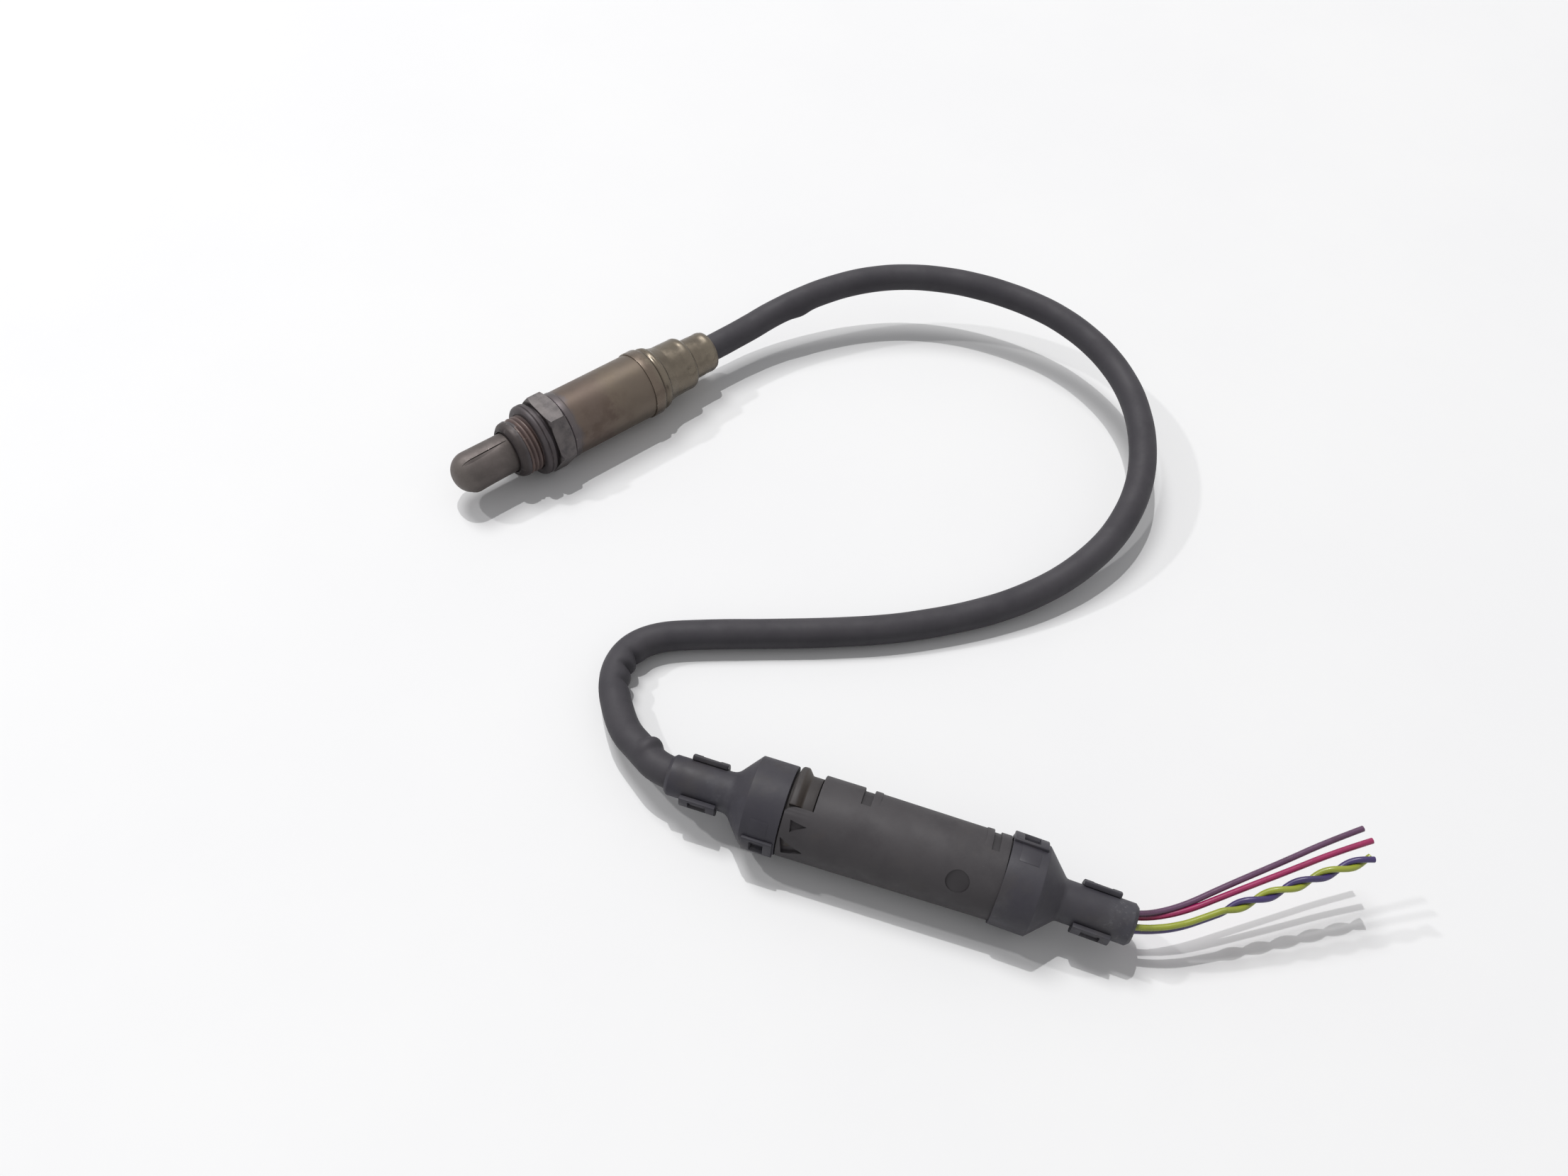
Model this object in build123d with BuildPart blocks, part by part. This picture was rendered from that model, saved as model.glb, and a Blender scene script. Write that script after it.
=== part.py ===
from build123d import *
import os
from math import cos, radians, sin, tan

# Heated oxygen sensor with a sheathed lead, an in-line connector and four harness wires.
# Millimetres. Z = 0 is the surface that everything lies on. The sensor's axis is parallel
# to X, with the tip towards +X, and the origin lies under the middle of its length.
# A station is a distance along an axis: from the tip on the sensor, from the cable's end
# on the connector, and from the joint outwards on each of the connector's covers.

# ---- Sensor -----------------------------------------------------------------------------
FIT = 0.05                    # radial clearance of pieces that slide into each other

TUBE_RADIUS = 6.35            # protective tube, outside
TUBE_WALL = 0.5
TUBE_END_ROUND = 5.0          # rounding of the tube's closed end
TUBE_REACH = 17.6             # tip to the front of the threaded shell
TUBE_SEAT = 4.4               # length held inside the shell
TUBE_FLANGE_RADIUS = 7.3
TUBE_FLANGE_THICKNESS = 0.7
LOUVRE_COUNT = 3
LOUVRE_LENGTH = 11.5
LOUVRE_WIDTH = 0.7
LOUVRE_SETBACK = 4.6          # tip to the louvre's near end
LOUVRE_ANGLE = 9.0            # first louvre, from the top

INNER_TUBE_RADIUS = 4.6
INNER_TUBE_WALL = 0.4
INNER_TUBE_SETBACK = 2.6      # gap between the two closed ends
INNER_TUBE_END_ROUND = 2.8
INNER_HOLE_RADIUS = 0.8
INNER_HOLE_COUNT = 6
INNER_HOLE_SETBACK = 13.0

NOSE_LENGTH = 2.9             # rounded front of the shell, ahead of the thread
NOSE_ROUND = 2.2
THREAD_RADIUS = 9.0           # M18 x 1.5, modelled as a plain cylinder
THREAD_LENGTH = 4.3
UNDERCUT_DEPTH = 0.9
GASKET_WIDTH = 2.25           # front face's inner edge to the rim
GASKET_PLAY = 0.2             # bore to undercut; the thread keeps the ring captive
GASKET_THICKNESS = 4.5
GASKET_RIM_ROUND = 1.5
GASKET_REAR_ROUND = 0.9
GASKET_THROAT_LENGTH = 0.8    # bore widens to clear the thread over this length
GASKET_THROAT_EDGE = 0.15     # front face starts this far outside the thread
GASKET_FOLD = 0.5             # groove inside the folded ring
SEAT_STEP = 0.7               # face that the gasket bears on, inside the hexagon's flats
SEAT_LENGTH = 0.6
HEX_WIDTH = 22.0              # across flats
HEX_LENGTH = 6.6
HEX_CHAMFER_LENGTH = 1.1
HEX_CHAMFER_STEP = 0.25       # chamfer's inner edge, inside the flats
SPIGOT_LENGTH = 5.0           # rear of the shell, inside the long sleeve
SHELL_BORE = 7.0
SHELL_LAND_WIDTH = 0.7        # step that the ceramic element's shoulder seats on
SHELL_LAND_LENGTH = 3.0

ELEMENT_RADIUS = 2.9          # zirconia thimble
ELEMENT_BORE = 1.7
ELEMENT_SETBACK = 5.6         # tube tip to thimble tip
ELEMENT_SHOULDER_RADIUS = 5.9
ELEMENT_SHOULDER_LENGTH = 4.0
ELEMENT_REAR_RADIUS = 4.2
ELEMENT_REAR_LENGTH = 11.0
HEATER_RADIUS = 1.5
HEATER_GAP = 1.0              # heater's tip to the bottom of the thimble
HEATER_SEAT = 8.0             # heater's reach into the rear bushing
PACKING_LENGTH = 4.5
INSULATOR_PLAY = 0.85         # inside the long sleeve
INSULATOR_LENGTH = 12.0
TERMINAL_RADIUS = 0.9
TERMINAL_OVERLAP = 3.0        # terminals' reach along the element's rear
LEAD_COUNT = 4
LEAD_RADIUS = 0.75
LEAD_SEAT = 4.0               # leads' reach into the rear bushing
LEAD_CIRCLE = 3.1             # leads in the grommet and the cable
LEAD_BEND_START = 0.6
LEAD_BEND_ROUND = 2.5
SPRING_THICKNESS = 0.5
SPRING_HEIGHT = 1.8
SPRING_PLAY = 0.15            # inside the long sleeve
SPRING_WIDTH = 2.6

SLEEVE_RADIUS = 10.65         # long sleeve
SLEEVE_WALL = 0.5
SLEEVE_LENGTH = 34.2
COLLAR_WALL = 0.4             # rear sleeve's collar over the long sleeve
COLLAR_LENGTH = 4.2
COLLAR_ROUND = 0.7
COLLAR_OVERLAP = 3.4
NECKING_DEPTH = 1.2           # rolled groove behind the collar
NECKING_LENGTH = 1.1
CONE_LENGTH = 4.9
BARREL_RADIUS = 8.75          # around the grommet's thick end
BARREL_LENGTH = 7.2
TAIL_STEP = 2.0               # tail's radius, smaller than the barrel's
TAIL_STEP_FLAT = 0.1          # flat left beside the barrel's rounded end
TAIL_LENGTH = 9.7
TAIL_ROUND = 2.3
REAR_WALL = 0.45
TAIL_LIP = 0.7                # thickness of the turned-in end
CRIMP_COUNT = 6
CRIMP_DEPTH = 0.25
CRIMP_RADIUS = 1.6
CRIMP_SETBACKS = (1.3, 3.9)   # ahead of the barrel's shoulder, and ahead of the tail's end
GROMMET_SETBACK = 1.6         # behind the rolled groove
GROMMET_ROUND = 0.8

# ---- Sheathed cable ---------------------------------------------------------------------
CABLE_DIAMETER = 8.6
CABLE_HOLD = 1.4              # cable's start inside the sensor's tail
CABLE_STRAIGHT = 13.0         # cable's first run, in line with the sensor, from its end
CABLE_GRIP = 6.5              # cable's reach into the connector's neck
CABLE_KINK_SETBACK = 1.4      # last corner, ahead of the neck's mouth
CABLE_ROUTE = [
    (-75.5, 1.4, 13.2), (-90.5, 4.6, 15.5), (-105.6, 9.4, 17.4),
    (-120.2, 17.2, 18.6), (-132.9, 29.4, 19.2), (-143.0, 45.2, 19.4), (-149.3, 63.2, 19.3),
    (-149.4, 82.4, 18.6), (-143.8, 100.2, 17.4), (-132.8, 115.5, 15.7), (-117.6, 128.0, 13.0),
    (-98.7, 135.3, 9.7), (-78.6, 136.2, 6.8), (-58.8, 132.5, 5.0), (-40.3, 125.4, 4.4),
    (-22.9, 116.6, 4.4), (-6.3, 105.6, 4.4), (9.2, 94.2, 4.4), (21.6, 84.4, 4.4),
    (31.9, 78.8, 4.4), (41.4, 77.4, 4.7), (49.3, 80.3, 5.3), (54.4, 85.4, 6.1),
    (57.8, 92.2, 7.2), (59.3, 99.8, 8.6), (59.7, 107.9, 10.1),
]

# ---- Connector --------------------------------------------------------------------------
CONNECTOR_START = (59.1, 118.4)   # mouth of the cable-side neck, above the surface
CONNECTOR_HEADING = 122.4         # degrees from +X, cable side to harness side
CONNECTOR_ROLL = 28.8             # tilt of the covers' outer face, from the top
COLLAR_RADIUS = 11.7              # covers at the joint, which rest on Z = 0
COVER_WALL = 1.3
NECK_PLAY = 0.3                   # cable to the neck's bore
NECK_WALL = 0.8
NECK_CHAMFER = 0.6
NECK_FLARE = 3.0                  # rounding between the neck and the cone
CABLE_NECK_LENGTH = 18.2
CABLE_CONE_LENGTH = 5.3
CABLE_COLLAR_LENGTH = 9.5
HARNESS_NECK_LENGTH = 19.0
HARNESS_CONE_LENGTH = 6.4
HARNESS_COLLAR_LENGTH = 9.4
HARNESS_COVER_TILT = 2.2          # slack cover, open by this angle at its latch side
COVER_GAP = 0.35                  # between each cover and the coupling sleeve
CABLE_CLAMP_SETBACK = 2.6         # rib that grips the cable, inside the neck's mouth
CABLE_CLAMP_LENGTH = 1.6

HASP_THICKNESS = 1.5              # latch loops on the necks
HASP_SETBACK = 5.2                # from the neck's mouth
HASP_LENGTH = 9.6
HASP_BAR = 2.4                    # bars at both ends of the loop's window
HASP_ANGLES = (40.0, 116.0)       # from the middle of the covers' outer face
HASP_END_BAR_ANGLE = 9.0
HASP_WINDOW_ANGLE = 35.0
HASP_ROOT_ANGLE = 22.0            # joins the loop to its own half
LATCH_PLAY = 0.2
CATCH_HEIGHT = 0.7
CATCH_PLAY_ANGLE = 2.0
CATCH_ANGLE = 19.0
PANEL_HEIGHT = 0.3                # latch plate on one side of the collar
PANEL_SETBACK = 2.6               # from the joint
PANEL_LENGTH = 4.6
PANEL_ANGLES = (14.0, 50.0)
TONGUE_HEIGHT = 0.8
TONGUE_SETBACK = 0.4
TONGUE_LENGTH = 8.2
TONGUE_BAR = 2.3
TONGUE_ANGLES = (50.0, 88.0)
TONGUE_WINDOW_ANGLES = (54.0, 79.0)
TONGUE_WINDOW_DEPTH = 0.8         # below the collar's surface

COUPLING_LENGTH = 55.8            # sleeve between the two covers
COUPLING_RADIUS = 11.55           # at its cable end
COUPLING_TAPER = 0.6              # smaller at its harness end
COUPLING_WALL = 1.85              # at its harness end
COUPLING_MOUTH_WALL = 1.1         # around the plug's flange
WINDOW_LENGTH = 7.0               # opening that shows the plug's rib
WINDOW_ANGLES = (7.0, 173.0)
STEP_LENGTH = 10.4                # full-height pad behind the window
SLOT_WIDTH = 2.6
SLOT_DEPTH = 0.7
SLOT_ANGLES = (39.0, 141.0)
RIDGE_WIDTH = 2.1
RIDGE_HEIGHT = 0.3
RIDGE_SINK = 0.1                  # ridge below the pad
REAR_SLOT_SETBACK = 2.6           # from the sleeve's harness end
REAR_SLOT_WIDTH = 1.9
REAR_SLOT_DEPTH = 0.45
REAR_RIDGE_WIDTH = 1.9
REAR_SLOT_ANGLES = (33.0, 147.0)
DIMPLE_RADIUS = 3.0
DIMPLE_DEPTH = 0.5
DIMPLE_SETBACK = 45.4
DIMPLE_ANGLE = -21.0

SKIRT_LENGTH = 8.4                # housings' skirts, inside the covers
SKIRT_WALL = 1.3
SKIRT_SLACK = 0.45                # room for the tilted cover
RIB_HEIGHT = 0.55                 # above the coupling sleeve
RIB_SETBACK = 0.4
RIB_WIDTH = 1.9
RIB_SLOPE = 1.1
RIB_END_ANGLE = 1.0               # between the rib's ends and the window's sides
PLUG_FLANGE_LENGTH = 11.2
PLUG_FLANGE_PLAY = 0.6            # ahead of the flange, inside the coupling sleeve
SOCKET_FLANGE_LENGTH = 1.2
SHROUD_LENGTH = 17.0
SHROUD_WALL = 1.2
SOCKET_NOSE_LENGTH = 13.0
SOCKET_NOSE_GAP = 0.9             # radial room for the seal
SOCKET_FACE_GAP = 1.0             # shroud's rim to the socket's shoulder
INTERFACE_SEAL_LENGTH = 4.0
WIRE_SEAL_LENGTH = 4.5
WIRE_SEAL_RADIUS = 7.4
PIN_CIRCLE = 4.0
PIN_RADIUS = 0.75
PIN_LENGTH = 28.0
SOCKET_TERMINAL_RADIUS = 1.15
SOCKET_TERMINAL_SETBACK = 1.0
CONTACT_ANGLE = 45.0              # first contact, from the covers' outer face
PLUG_LEAD_STRAIGHT = 3.5          # leads spread after this length past the cable's end
PLUG_LEAD_SPREAD = 10.0
PLUG_LEAD_BEND_ROUND = 10.0

# ---- Harness wires ----------------------------------------------------------------------
WIRE_DIAMETER = 1.6
WIRE_SPREAD_END = 2.5             # wires come together past the cone, by this length
WIRE_TURN_SETBACK = 1.0           # last corner inside the neck, from its mouth
WIRE_OFFSETS = {                  # place in the neck: towards the latch side, and outwards
    "violet": (1.9, 0.3),
    "magenta": (1.0, -1.2),
    "blue": (-0.7, -0.8),
    "green": (0.2, 0.6),
}
WIRE_ROUTES = {
    "violet": [
        (-17.0, 227.0, 13.6), (-31.0, 231.6, 15.4), (-46.0, 236.5, 17.4),
        (-58.0, 240.2, 19.3), (-67.9, 243.9, 20.7),
    ],
    "magenta": [
        (-16.2, 228.3, 12.2), (-30.5, 233.6, 15.1), (-45.5, 239.2, 17.6),
        (-57.3, 243.4, 19.6), (-66.7, 247.5, 21.0),
    ],
    "blue": [
        (-14.0, 230.9, 11.8), (-27.7, 237.0, 14.4), (-41.0, 242.6, 16.8),
        (-53.0, 247.2, 18.8), (-63.8, 251.6, 20.5),
    ],
    "green": [
        (-15.0, 230.0, 13.6), (-27.5, 235.6, 15.9), (-41.0, 241.0, 18.2),
        (-53.0, 245.5, 20.2), (-63.6, 250.0, 21.9),
    ],
}

os.makedirs("parts", exist_ok=True)


def save(piece, label):
    """Label a finished piece and write it as its own STEP file."""
    piece.part.label = label
    export_step(piece.part, f"parts/{label}.step")


# ---- Frames and round features ------------------------------------------------------------
# A frame is a plane whose X runs along an axis. Angles about it start at its Z and grow
# towards its Y.

def outwards(frame, angle):
    """Direction away from a frame's axis, at an angle."""
    return frame.z_dir * cos(radians(angle)) + frame.y_dir * sin(radians(angle))


def place(frame, station, radius=0.0, angle=0.0):
    """Point at a station along a frame's axis."""
    return frame.origin + frame.x_dir * station + outwards(frame, angle) * radius


def cross_section(frame, station):
    """Plane across a frame's axis."""
    return Plane(origin=place(frame, station), x_dir=frame.y_dir, z_dir=frame.x_dir)


def turn(frame, outline, radii=0.0, angles=(0.0, 360.0), mode=Mode.ADD):
    """Revolve a closed outline of (station, radius) points from one angle to another."""
    first, last = angles
    across = frame.x_dir.cross(outwards(frame, last))
    with BuildSketch(Plane(origin=frame.origin, x_dir=frame.x_dir, z_dir=across)) as profile:
        with BuildLine():
            FilletPolyline(*outline, radius=radii, close=True)
        make_face()
    axis = Axis(frame.origin, frame.x_dir)
    revolve(profile.sketch, axis=axis, revolution_arc=last - first, mode=mode)


def band(frame, start, end, inside, outside, angles=(0.0, 360.0), mode=Mode.ADD):
    """Ring, or part of one, between two stations and two radii."""
    turn(frame, [(start, inside), (start, outside), (end, outside), (end, inside)], 0.0, angles, mode)


def bars(frame, radius, start, end, circle=0.0, count=1, mode=Mode.ADD):
    """Round bars along a frame's axis, evenly spaced on a circle about it."""
    for number in range(count):
        angle = CONTACT_ANGLE + number * 360 / count
        centre = place(frame, start, circle, angle)
        with BuildSketch(Plane(origin=centre, x_dir=frame.y_dir, z_dir=frame.x_dir)) as section:
            Circle(radius)
        extrude(section.sketch, amount=end - start, mode=mode)


def tube(points, radii, radius):
    """Round solid along straight runs joined by tangent arcs."""
    with BuildLine() as path:
        FilletPolyline(*points, radius=radii)
    with BuildSketch(Plane(origin=path.line @ 0, z_dir=path.line % 0)) as section:
        Circle(radius)
    sweep(section.sketch, path=path.line)


def cord_radii(label, points, diameter):
    """Largest arc for each corner: 0.45 of the shorter run over the tangent of half the turn."""
    points = [Vector(*point) for point in points]
    radii = []
    for before, corner, after in zip(points, points[1:], points[2:]):
        arriving = corner - before
        leaving = after - corner
        half_turn = radians(arriving.get_angle(leaving)) / 2
        radii.append(0.45 * min(arriving.length, leaving.length) / tan(half_turn))
    smallest = min(radii)
    print(f"{label}: smallest radius {smallest:.1f} mm, {smallest / diameter:.1f} diameters")
    print("  radii", [round(value, 1) for value in radii])
    return radii


# ---- Sensor: stations from the tip, and radii -------------------------------------------------
thread_start = TUBE_REACH + NOSE_LENGTH
thread_end = thread_start + THREAD_LENGTH
gasket_end = thread_end + GASKET_THICKNESS
seat_end = gasket_end + SEAT_LENGTH
hex_end = seat_end + HEX_LENGTH
spigot_end = hex_end + SPIGOT_LENGTH
sleeve_end = hex_end + SLEEVE_LENGTH
collar_start = sleeve_end - COLLAR_OVERLAP
collar_end = collar_start + COLLAR_LENGTH
necking_end = collar_end + NECKING_LENGTH
cone_end = necking_end + CONE_LENGTH
barrel_end = cone_end + BARREL_LENGTH
barrel_round = TAIL_STEP - TAIL_STEP_FLAT
tail_start = barrel_end + barrel_round
sensor_length = tail_start + TAIL_LENGTH

undercut_radius = THREAD_RADIUS - UNDERCUT_DEPTH
gasket_bore = undercut_radius + GASKET_PLAY
gasket_edge = THREAD_RADIUS + GASKET_THROAT_EDGE
gasket_radius = gasket_edge + GASKET_WIDTH
hex_flat = HEX_WIDTH / 2
sleeve_bore = SLEEVE_RADIUS - SLEEVE_WALL
collar_radius = SLEEVE_RADIUS + COLLAR_WALL
necking_radius = collar_radius - NECKING_DEPTH
tail_radius = BARREL_RADIUS - TAIL_STEP

# The sensor rests on its widest part, which is the gasket.
axis_height = max(gasket_radius, hex_flat, collar_radius)
sensor = Plane(origin=(sensor_length / 2, 0, axis_height), x_dir=(-1, 0, 0), z_dir=(0, 0, 1))

# ---- Protective tubes -------------------------------------------------------------------------
tube_end = TUBE_REACH + TUBE_SEAT
flange_end = tube_end + TUBE_FLANGE_THICKNESS

with BuildPart() as protective_tube:
    turn(
        sensor,
        [(0, 0), (0, TUBE_RADIUS), (flange_end, TUBE_RADIUS), (flange_end, 0)],
        (0, TUBE_END_ROUND, 0, 0),
    )
    band(sensor, tube_end, flange_end, 0, TUBE_FLANGE_RADIUS)
    tube_bore = TUBE_RADIUS - TUBE_WALL
    turn(
        sensor,
        [(TUBE_WALL, 0), (TUBE_WALL, tube_bore), (flange_end, tube_bore), (flange_end, 0)],
        (0, TUBE_END_ROUND - TUBE_WALL, 0, 0),
        mode=Mode.SUBTRACT,
    )
    for number in range(LOUVRE_COUNT):
        angle = LOUVRE_ANGLE + number * 360 / LOUVRE_COUNT
        middle = place(sensor, LOUVRE_SETBACK + LOUVRE_LENGTH / 2)
        with BuildSketch(Plane(origin=middle, x_dir=sensor.x_dir, z_dir=outwards(sensor, angle))):
            SlotOverall(LOUVRE_LENGTH, LOUVRE_WIDTH)
        extrude(amount=TUBE_RADIUS + TUBE_WALL, mode=Mode.SUBTRACT)
save(protective_tube, "protective_tube")

inner_end = flange_end + TUBE_FLANGE_THICKNESS
inner_tip = TUBE_WALL + INNER_TUBE_SETBACK

with BuildPart() as inner_tube:
    turn(
        sensor,
        [(inner_tip, 0), (inner_tip, INNER_TUBE_RADIUS), (inner_end, INNER_TUBE_RADIUS), (inner_end, 0)],
        (0, INNER_TUBE_END_ROUND, 0, 0),
    )
    band(sensor, flange_end, inner_end, 0, TUBE_FLANGE_RADIUS)
    inner_bore = INNER_TUBE_RADIUS - INNER_TUBE_WALL
    bore_start = inner_tip + INNER_TUBE_WALL
    turn(
        sensor,
        [(bore_start, 0), (bore_start, inner_bore), (inner_end, inner_bore), (inner_end, 0)],
        (0, INNER_TUBE_END_ROUND - INNER_TUBE_WALL, 0, 0),
        mode=Mode.SUBTRACT,
    )
    for number in range(INNER_HOLE_COUNT):
        angle = number * 360 / INNER_HOLE_COUNT
        middle = place(sensor, INNER_HOLE_SETBACK)
        with BuildSketch(Plane(origin=middle, x_dir=sensor.x_dir, z_dir=outwards(sensor, angle))):
            Circle(INNER_HOLE_RADIUS)
        extrude(amount=INNER_TUBE_RADIUS + INNER_TUBE_WALL, mode=Mode.SUBTRACT)
save(inner_tube, "inner_tube")

# ---- Threaded shell, gasket ---------------------------------------------------------------------
land_end = inner_end + SHELL_LAND_LENGTH
land_radius = ELEMENT_SHOULDER_RADIUS - SHELL_LAND_WIDTH
hex_corner = HEX_WIDTH / 3**0.5
chamfer_radius = hex_flat - HEX_CHAMFER_STEP
seat_radius = hex_flat - SEAT_STEP

with BuildPart() as threaded_shell:
    with BuildSketch(cross_section(sensor, seat_end)):
        RegularPolygon(hex_flat, 6, major_radius=False)
    extrude(amount=HEX_LENGTH)
    turn(
        sensor,
        [
            (seat_end, 0), (seat_end, chamfer_radius),
            (seat_end + HEX_CHAMFER_LENGTH, hex_corner), (hex_end - HEX_CHAMFER_LENGTH, hex_corner),
            (hex_end, chamfer_radius), (hex_end, 0),
        ],
        mode=Mode.INTERSECT,
    )
    turn(
        sensor,
        [
            (TUBE_REACH, 0), (TUBE_REACH, THREAD_RADIUS), (thread_end, THREAD_RADIUS),
            (thread_end, undercut_radius), (gasket_end, undercut_radius),
            (gasket_end, seat_radius), (seat_end, seat_radius), (seat_end, 0),
        ],
        (0, NOSE_ROUND, 0, 0, 0, 0, 0, 0),
    )
    band(sensor, hex_end, spigot_end, 0, sleeve_bore - FIT)
    band(sensor, TUBE_REACH, tube_end, 0, TUBE_RADIUS + FIT, mode=Mode.SUBTRACT)
    band(sensor, tube_end, inner_end, 0, TUBE_FLANGE_RADIUS + FIT, mode=Mode.SUBTRACT)
    band(sensor, inner_end, land_end, 0, land_radius, mode=Mode.SUBTRACT)
    band(sensor, land_end, spigot_end, 0, SHELL_BORE, mode=Mode.SUBTRACT)
save(threaded_shell, "threaded_shell")

with BuildPart() as gasket:
    turn(
        sensor,
        [
            (thread_end + GASKET_THROAT_LENGTH, gasket_bore),
            (thread_end, gasket_edge), (thread_end, gasket_radius),
            (gasket_end, gasket_radius), (gasket_end, gasket_bore),
        ],
        (0, 0, GASKET_RIM_ROUND, GASKET_REAR_ROUND, 0),
    )
    fold_start = thread_end + (GASKET_THICKNESS - GASKET_FOLD) / 2
    fold_depth = (gasket_radius - gasket_bore) / 2
    band(sensor, fold_start, fold_start + GASKET_FOLD, gasket_bore, gasket_bore + fold_depth,
         mode=Mode.SUBTRACT)
save(gasket, "sealing_gasket")

# ---- Ceramic element, heater, packing and insulators ----------------------------------------------
shoulder_end = land_end + ELEMENT_SHOULDER_LENGTH
element_end = shoulder_end + ELEMENT_REAR_LENGTH
element_bore_start = ELEMENT_SETBACK + ELEMENT_RADIUS - ELEMENT_BORE

with BuildPart() as sensing_element:
    turn(
        sensor,
        [
            (ELEMENT_SETBACK, 0), (ELEMENT_SETBACK, ELEMENT_RADIUS), (land_end, ELEMENT_RADIUS),
            (land_end, ELEMENT_SHOULDER_RADIUS), (shoulder_end, ELEMENT_SHOULDER_RADIUS),
            (shoulder_end, ELEMENT_REAR_RADIUS), (element_end, ELEMENT_REAR_RADIUS), (element_end, 0),
        ],
        (0, ELEMENT_RADIUS - FIT, 0, 0, 0, 0, 0, 0),
    )
    turn(
        sensor,
        [
            (element_bore_start, 0), (element_bore_start, ELEMENT_BORE),
            (element_end, ELEMENT_BORE), (element_end, 0),
        ],
        (0, ELEMENT_BORE - FIT, 0, 0),
        mode=Mode.SUBTRACT,
    )
save(sensing_element, "sensing_element")

packing_end = shoulder_end + PACKING_LENGTH
with BuildPart() as packing_ring:
    band(sensor, shoulder_end, packing_end, ELEMENT_REAR_RADIUS, SHELL_BORE)
save(packing_ring, "packing_ring")

insulator_end = spigot_end + INSULATOR_LENGTH
terminal_start = element_end - TERMINAL_OVERLAP
terminal_circle = ELEMENT_REAR_RADIUS + TERMINAL_RADIUS
with BuildPart() as rear_insulator:
    band(sensor, packing_end, spigot_end, ELEMENT_REAR_RADIUS + FIT, SHELL_BORE - FIT)
    band(sensor, spigot_end, insulator_end, ELEMENT_REAR_RADIUS + FIT,
         sleeve_bore - INSULATOR_PLAY)
    bars(sensor, TERMINAL_RADIUS + FIT, terminal_start, insulator_end, terminal_circle, LEAD_COUNT,
         mode=Mode.SUBTRACT)
save(rear_insulator, "rear_insulator")

rear_face = collar_end - REAR_WALL
bushing_end = rear_face - SPRING_HEIGHT
heater_start = element_bore_start + HEATER_GAP
with BuildPart() as heater_rod:
    band(sensor, heater_start, insulator_end + HEATER_SEAT, 0, HEATER_RADIUS)
save(heater_rod, "heater_rod")

with BuildPart() as contact_bushing:
    band(sensor, insulator_end, bushing_end, HEATER_RADIUS + FIT, sleeve_bore - FIT)
    bars(sensor, TERMINAL_RADIUS + FIT, insulator_end, bushing_end, terminal_circle, LEAD_COUNT,
         mode=Mode.SUBTRACT)
save(contact_bushing, "contact_bushing")

spring_radius = sleeve_bore - SPRING_PLAY
spring_bore = spring_radius - SPRING_WIDTH
with BuildPart() as spring:
    turn(
        sensor,
        [
            (bushing_end, spring_bore), (bushing_end + SPRING_THICKNESS, spring_bore),
            (rear_face, spring_radius), (rear_face - SPRING_THICKNESS, spring_radius),
        ],
    )
save(spring, "disc_spring")

# ---- Sleeves and grommet ------------------------------------------------------------------------
with BuildPart() as main_sleeve:
    band(sensor, hex_end, sleeve_end, sleeve_bore, SLEEVE_RADIUS)
save(main_sleeve, "main_sleeve")

grommet_end = sensor_length - CABLE_HOLD
cable_radius = CABLE_DIAMETER / 2
with BuildPart() as rear_sleeve:
    turn(
        sensor,
        [
            (collar_start, 0), (collar_start, collar_radius), (collar_end, collar_radius),
            (collar_end, necking_radius),
            (necking_end, necking_radius), (cone_end, BARREL_RADIUS), (tail_start, BARREL_RADIUS),
            (tail_start, tail_radius), (sensor_length, tail_radius), (sensor_length, 0),
        ],
        (0, 0, COLLAR_ROUND, 0, 0, 0, barrel_round, 0, TAIL_ROUND, 0),
    )
    band(sensor, collar_start, sleeve_end, 0, SLEEVE_RADIUS, mode=Mode.SUBTRACT)
    band(sensor, sleeve_end, rear_face, 0, sleeve_bore, mode=Mode.SUBTRACT)
    turn(
        sensor,
        [
            (rear_face, 0), (rear_face, necking_radius - REAR_WALL),
            (necking_end, necking_radius - REAR_WALL), (cone_end, BARREL_RADIUS - REAR_WALL),
            (tail_start - REAR_WALL, BARREL_RADIUS - REAR_WALL),
            (tail_start - REAR_WALL, tail_radius - REAR_WALL),
            (sensor_length - TAIL_LIP, tail_radius - REAR_WALL), (sensor_length - TAIL_LIP, 0),
        ],
        (0, 0, 0, 0, barrel_round - REAR_WALL, 0, TAIL_ROUND - REAR_WALL, 0),
        mode=Mode.SUBTRACT,
    )
    band(sensor, grommet_end, sensor_length, 0, cable_radius + FIT, mode=Mode.SUBTRACT)
    barrel_crimp, tail_crimp = CRIMP_SETBACKS
    crimps = ((barrel_end - barrel_crimp, BARREL_RADIUS), (sensor_length - tail_crimp, tail_radius))
    for station, surface in crimps:
        for number in range(CRIMP_COUNT):
            angle = number * 360 / CRIMP_COUNT
            centre = place(sensor, station, surface + CRIMP_RADIUS - CRIMP_DEPTH, angle)
            with Locations(centre):
                Sphere(CRIMP_RADIUS, mode=Mode.SUBTRACT)
save(rear_sleeve, "rear_sleeve")

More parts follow.
